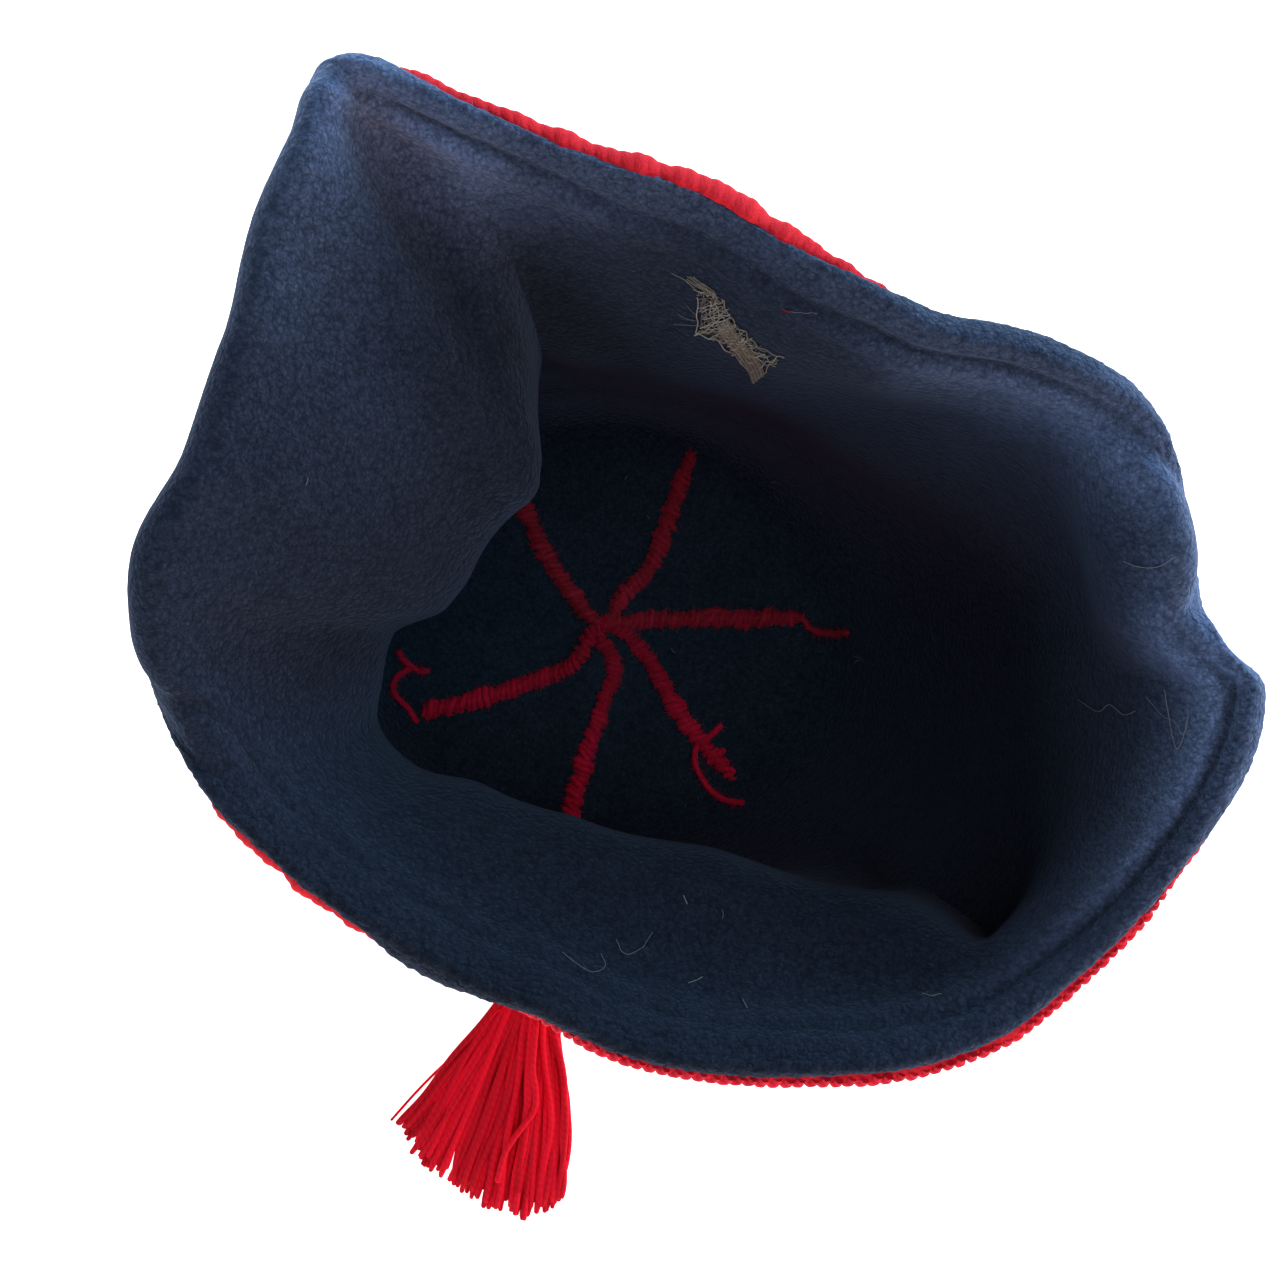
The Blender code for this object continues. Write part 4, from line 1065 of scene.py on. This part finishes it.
tree.links.new(ramp(tree, tone, (0.25, (0.085, 0.060, 0.040)), (0.95, (0.43, 0.365, 0.28))),
               shader.inputs["Base Color"])
tree.links.new(relief(tree, flecks, 0.0001, 0.6), shader.inputs["Normal"])
stub = spun("label_stub_threads", threads, radii, material, 5, shades)
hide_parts("label_stub")
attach(stub, "root")


# Stray fibres: the fleece's own fine hairs along the hem, and pale hairs and a bit of red and white
# lint that cling to the pile.
STRAY_RADIUS = 0.00006
STRAY_STEP = 0.0007
STRAY_LIFT = 0.0005
LINT_RADIUS = 0.00013
LINT_STEP = 0.0005
LYING_LIFT = 0.0004
SHORT_HAIRS = 9
STRAY_ROUTES = (  # how pale it is, and its route from the middle of the crown in millimetres
    (0.60, ((121.3, -14.7, 146.6), (121.8, -19.3, 148.0), (122.4, -24.7, 150.5), (123.6, -27.8, 152.4),
            (124.9, -25.4, 152.9), (125.6, -20.4, 152.8))),
    (0.40, ((118.8, -16.5, 142.0), (120.9, -20.4, 147.0), (122.9, -21.6, 150.0), (124.4, -24.6, 152.5),
            (126.0, -23.0, 153.0))),
    (0.55, ((109.4, 12.2, 158.9), (112.0, 11.0, 160.8), (115.1, 10.9, 163.1), (118.0, 12.8, 165.1))),
    (1.00, ((19.3, -61.0, 126.3), (20.1, -62.6, 127.5))),
    (0.45, ((-7.3, -71.5, 141.8), (-4.1, -73.7, 142.6), (-0.5, -75.6, 142.4), (2.0, -74.7, 139.2),
            (1.1, -72.2, 137.2))),
    (0.50, ((5.0, -68.0, 136.0), (7.0, -71.0, 137.5), (10.5, -69.5, 136.5), (13.0, -66.5, 134.5))),
    (0.90, ((70.5, -80.9, 143.1), (72.3, -81.4, 144.8), (74.4, -80.7, 145.5))),
    (0.80, ((20.1, -78.6, 137.3), (21.9, -78.1, 136.5), (23.2, -77.6, 135.7))),
    (0.60, ((31.7, -82.1, 138.7), (32.6, -84.1, 141.4))),
    (0.35, ((108.4, -17.6, 120.1), (111.2, -20.1, 127.6), (113.0, -18.4, 131.2), (115.3, -20.6, 136.4),
            (117.1, -19.6, 139.6))),
    (0.40, ((41.6, 64.0, 158.6), (43.6, 63.5, 159.0), (46.2, 62.9, 159.9))),
)
RED_LINT = ((39.4, 64.6, 158.2), (40.6, 64.2, 158.4), (41.5, 64.0, 158.6))

hem_pile = fleece("Navy fleece fibres", (0.008, 0.013, 0.026), (0.020, 0.031, 0.058), (0.040, 0.060, 0.105))
fuzz = worked(lining[-1], fibre_tree, "fleece_hem_fibres", keep=True, Density=0.36e6,
              Fibre_length=0.0011, Fibre_thickness=0.00006, Lean=0.8, Seed=21, Material=hem_pile)
rng = np.random.default_rng(19)
strays = [laid_line(route, STRAY_STEP, STRAY_LIFT) for _, route in STRAY_ROUTES]
pale = [paleness for paleness, _ in STRAY_ROUTES]
s = np.linspace(0.0, 1.0, 8)
for _ in range(SHORT_HAIRS):
    x, y = rng.uniform(-0.07, 0.11), rng.uniform(-0.08, 0.05)
    turn, bend = rng.uniform(0, 2 * math.pi), rng.uniform(-0.8, 0.8)
    reach = rng.uniform(0.0008, 0.0025)
    turns = turn + bend * s
    spots = np.stack((x + reach * s * np.cos(turns), y + reach * s * np.sin(turns)), axis=1)
    strays.append(dropped(spots + CROWN[:2], LYING_LIFT))
    pale.append(rng.uniform(0.05, 0.35))
material, tree, shader = cloth_shader("Pale stray hairs", 0.6, 0.2, (1.0, 1.0, 1.0))
tree.links.new(ramp(tree, mark(tree, "shade"), (0.0, (0.10, 0.11, 0.13)), (1.0, (0.42, 0.41, 0.39))),
               shader.inputs["Base Color"])
stray_radii = [STRAY_RADIUS * rng.uniform(0.7, 1.2) for _ in strays]
hairs = spun("stray_hairs", strays, stray_radii, material, 4, pale)
lint = spun("stray_lint", [laid_line(RED_LINT, LINT_STEP, LYING_LIFT)], [LINT_RADIUS], fluff, 5,
            [0.2])
for piece in (fuzz, hairs, lint):
    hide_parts("fleece_lining")
    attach(piece, "root")


# Tassel: strands of crimson yarn folded over the cord's end, bound below into a head, and fanned
# out in layers where they lie on the floor. Their ends gather into tufts.
HEAD_DIAMETER = 0.0150
NECK_DIAMETER = 0.0100
NECK_FORWARD = 0.38
HEAD_GAP = 0.0003
FLOOR_GAP = 0.0002
STRAND_RADIUS = 0.00088
STRAND_SIDES = 8
STRAND_GAP = 0.0003
SKIRT_HEIGHT = 0.0056
SIDE_LIMIT = 0.0188
TUFT_SPREAD = 0.0033
WAVER = 0.0007
TUFT_ROWS = (  # strands, and the tuft's tip aside and ahead of the neck in millimetres
    (9, -28.4, 58.5), (10, -25.8, 62.0), (9, -22.5, 66.0), (9, -18.5, 69.0), (9, -14.0, 71.0),
    (9, -9.5, 73.0), (10, -5.6, 74.5), (12, -0.6, 76.5), (13, 4.0, 77.0), (13, 8.6, 77.5),
    (11, 12.2, 75.0), (11, 15.4, 73.0), (10, 17.6, 71.0),
)
SINGLE_STRANDS = (  # how thick, and the route aside and ahead of the neck and over the floor, in metres
    (1.0, ((0.0025, 0.0220, 0.0084), (0.0039, 0.0346, 0.0082), (0.0058, 0.0402, 0.0080),
           (0.0066, 0.0460, 0.0076), (0.0040, 0.0519, 0.0072), (0.0010, 0.0591, 0.0066),
           (0.0002, 0.0680, 0.0056))),
    (0.45, ((-0.0085, 0.0205, 0.0072), (-0.0145, 0.0310, 0.0052), (-0.0212, 0.0400, 0.0034),
            (-0.0268, 0.0485, 0.0020), (-0.0325, 0.0582, 0.0009))),
)
SINGLE_STEP = 0.0015
HEAD_STRANDS = 46
BIND_TURNS = 5
BIND_LENGTH = 0.0050

way = math.radians(CORD_DIRECTION)
ahead = np.array((math.cos(way), math.sin(way), 0.0))
aside_way = np.array((-math.sin(way), math.cos(way), 0.0))
middle = CROWN + np.array(CORD_ROUTE[-1]) + ahead * (0.5 * HEAD_DIAMETER + HEAD_GAP)
middle[2] = 0.5 * HEAD_DIAMETER + FLOOR_GAP
neck = middle + ahead * NECK_FORWARD * HEAD_DIAMETER
neck[2] = 0.5 * NECK_DIAMETER + FLOOR_GAP
rng = np.random.default_rng(11)
lines, radii, shades = [], [], []
s = np.linspace(0.0, 1.0, 32)
for strands, tip_side, tip_on in TUFT_ROWS:
    for k in range(strands):
        layer = (k + rng.random()) / strands
        loose = rng.uniform(-TUFT_SPREAD, TUFT_SPREAD)
        side_end = min(0.001 * tip_side + 0.9 * loose, SIDE_LIMIT)
        on_end = 0.001 * tip_on * (1.0 - 0.06 * rng.random() ** 2) - 0.5 * abs(loose) + 0.0010
        bend = 1.15 if side_end < 0.0 else 1.0
        bow = max(side_end, 0.0) * 0.13 * np.sin(math.pi * np.clip(s / 0.65 - 0.54, 0, 1))
        spin = rng.uniform(0, 2 * math.pi)
        root = 0.44 * NECK_DIAMETER * math.sqrt(rng.random())
        side = side_end * s ** bend + bow + root * math.cos(spin) * (1 - s)
        side = side + 0.5 * loose * np.sin(math.pi * s ** 0.8)
        side = side + WAVER * np.sin(s * rng.uniform(6, 15) + rng.uniform(0, 6)) * s * rng.uniform(0.3, 1.5)
        low = STRAND_RADIUS + STRAND_GAP + layer * SKIRT_HEIGHT * (1 - 0.70 * s ** 2.5)
        top = neck[2] + root * math.sin(spin)
        rise = low + (max(top, low[0]) - low) * (1 - s) ** 2.4
        rise = rise + 0.0003 * np.sin(s * rng.uniform(5, 12)) * layer * s
        line = neck[None] + np.outer(on_end * s, ahead) + np.outer(side, aside_way)
        line[:, 2] = np.maximum(rise, STRAND_RADIUS * 1.02)
        lines.append(line)
        radii.append(STRAND_RADIUS * rng.uniform(0.88, 1.12) * np.interp(s, (0, 0.96, 1.0), (1.0, 1.0, 0.75)))
        # Lower layers get a darker shade, painted shade under the strands above; the random part is the
        # yarn's own tone.
        shades.append(np.clip(0.24 + 0.30 * layer + rng.uniform(-0.35, 0.55), 0, 1))

# One strand lies across the others, and a thin one stands off to the left.
for thickness, route in SINGLE_STRANDS:
    lines.append(smooth_line([neck + ahead * on + aside_way * side + (0, 0, high - neck[2])
                              for side, on, high in route], SINGLE_STEP))
    radii.append(STRAND_RADIUS * thickness)
    shades.append(0.8)
skirt = spun("tassel_skirt_yarn", lines, radii, tassel_yarn, STRAND_SIDES, shades)

lines, shades = [], []
s = np.linspace(0.04, 0.92, 14) * math.pi
ball = 0.5 * HEAD_DIAMETER - STRAND_RADIUS
pull_in = np.where(s > 0.6 * math.pi, 1 - 0.25 * (s / math.pi - 0.6) / 0.4, 1.0)
for k in range(HEAD_STRANDS):
    turn = 2 * math.pi * k / HEAD_STRANDS + rng.uniform(-0.05, 0.05)
    line = (middle[None] - np.outer(np.cos(s) * ball, ahead)
            + np.outer(np.sin(s) * ball * math.cos(turn) * pull_in, aside_way))
    line[:, 2] = middle[2] + np.sin(s) * ball * math.sin(turn) * pull_in
    lines.append(line)
    shades.append(rng.random())
s = np.linspace(0.0, 1.0, 140)
turn = 2 * math.pi * BIND_TURNS * s
bind = (neck[None] + np.outer((s - 0.6) * BIND_LENGTH, ahead)
        + np.outer(0.5 * NECK_DIAMETER * np.cos(turn), aside_way))
bind[:, 2] = neck[2] + 0.5 * NECK_DIAMETER * np.sin(turn) * 0.9
head = spun("tassel_head_yarn", lines + [bind], [STRAND_RADIUS] * HEAD_STRANDS + [STRAND_RADIUS * 0.8],
            tassel_yarn, STRAND_SIDES, shades + [0.3])
for piece in (skirt, head):
    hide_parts("tassel")
    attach(piece, "root")
run = run_along(cord_line)


# Floor and light: a wide white floor, a pale sky all round, and soft lamps low down on both sides.
SKY = 0.02
FLOOR_GLOW = 1.25
LAMP_SPREAD = 35.0
LAMP_ROWS = (  # direction, height in degrees, strength, colour
    (45, 10, 3.90, (0.50, 0.78, 1.0)), (225, 12, 2.05, (0.66, 0.86, 1.0)),
    (315, 3, 1.85, (1.0, 0.55, 0.25)), (0, 5, 0.95, (0.45, 0.75, 1.0)),
    (0, 65, 0.70, (0.30, 0.90, 1.0)), (275, 52, 0.42, (1.0, 0.35, 0.50)),
    (45, 66, 0.32, (1.0, 0.35, 0.35)), (0, 90, 0.40, (0.75, 0.97, 1.0)),
)

bpy.ops.mesh.primitive_plane_add(size=6.0, location=(0.0, 0.0, 0.0))
floor = bpy.context.object
floor.name = "floor"
material = bpy.data.materials.new("White floor")
material.use_nodes = True
shader = material.node_tree.nodes["Principled BSDF"]
shader.inputs["Base Color"].default_value = (0.9, 0.9, 0.9, 1.0)
shader.inputs["Roughness"].default_value = 1.0
shader.inputs["Emission Color"].default_value = (1.0, 1.0, 1.0, 1.0)
shader.inputs["Emission Strength"].default_value = FLOOR_GLOW
floor.data.materials.append(material)

world = bpy.data.worlds.new("Sky")
world.use_nodes = True
world.node_tree.nodes["Background"].inputs["Color"].default_value = (1.0, 1.0, 1.0, 1.0)
world.node_tree.nodes["Background"].inputs["Strength"].default_value = SKY
bpy.context.scene.world = world

for number, (direction, high, strength, colour) in enumerate(LAMP_ROWS, start=1):
    lamp_data = bpy.data.lights.new(f"Lamp {number}", "SUN")
    lamp_data.energy = strength
    lamp_data.angle = math.radians(LAMP_SPREAD)
    lamp_data.color = colour
    turn, rise = math.radians(direction), math.radians(high)
    toward = Vector((math.cos(turn) * math.cos(rise), math.sin(turn) * math.cos(rise), math.sin(rise)))
    lamp = placed(f"Lamp {number}", lamp_data)
    lamp.rotation_euler = (-toward).to_track_quat("-Z", "Y").to_euler()
bpy.context.scene.view_settings.view_transform = "Standard"
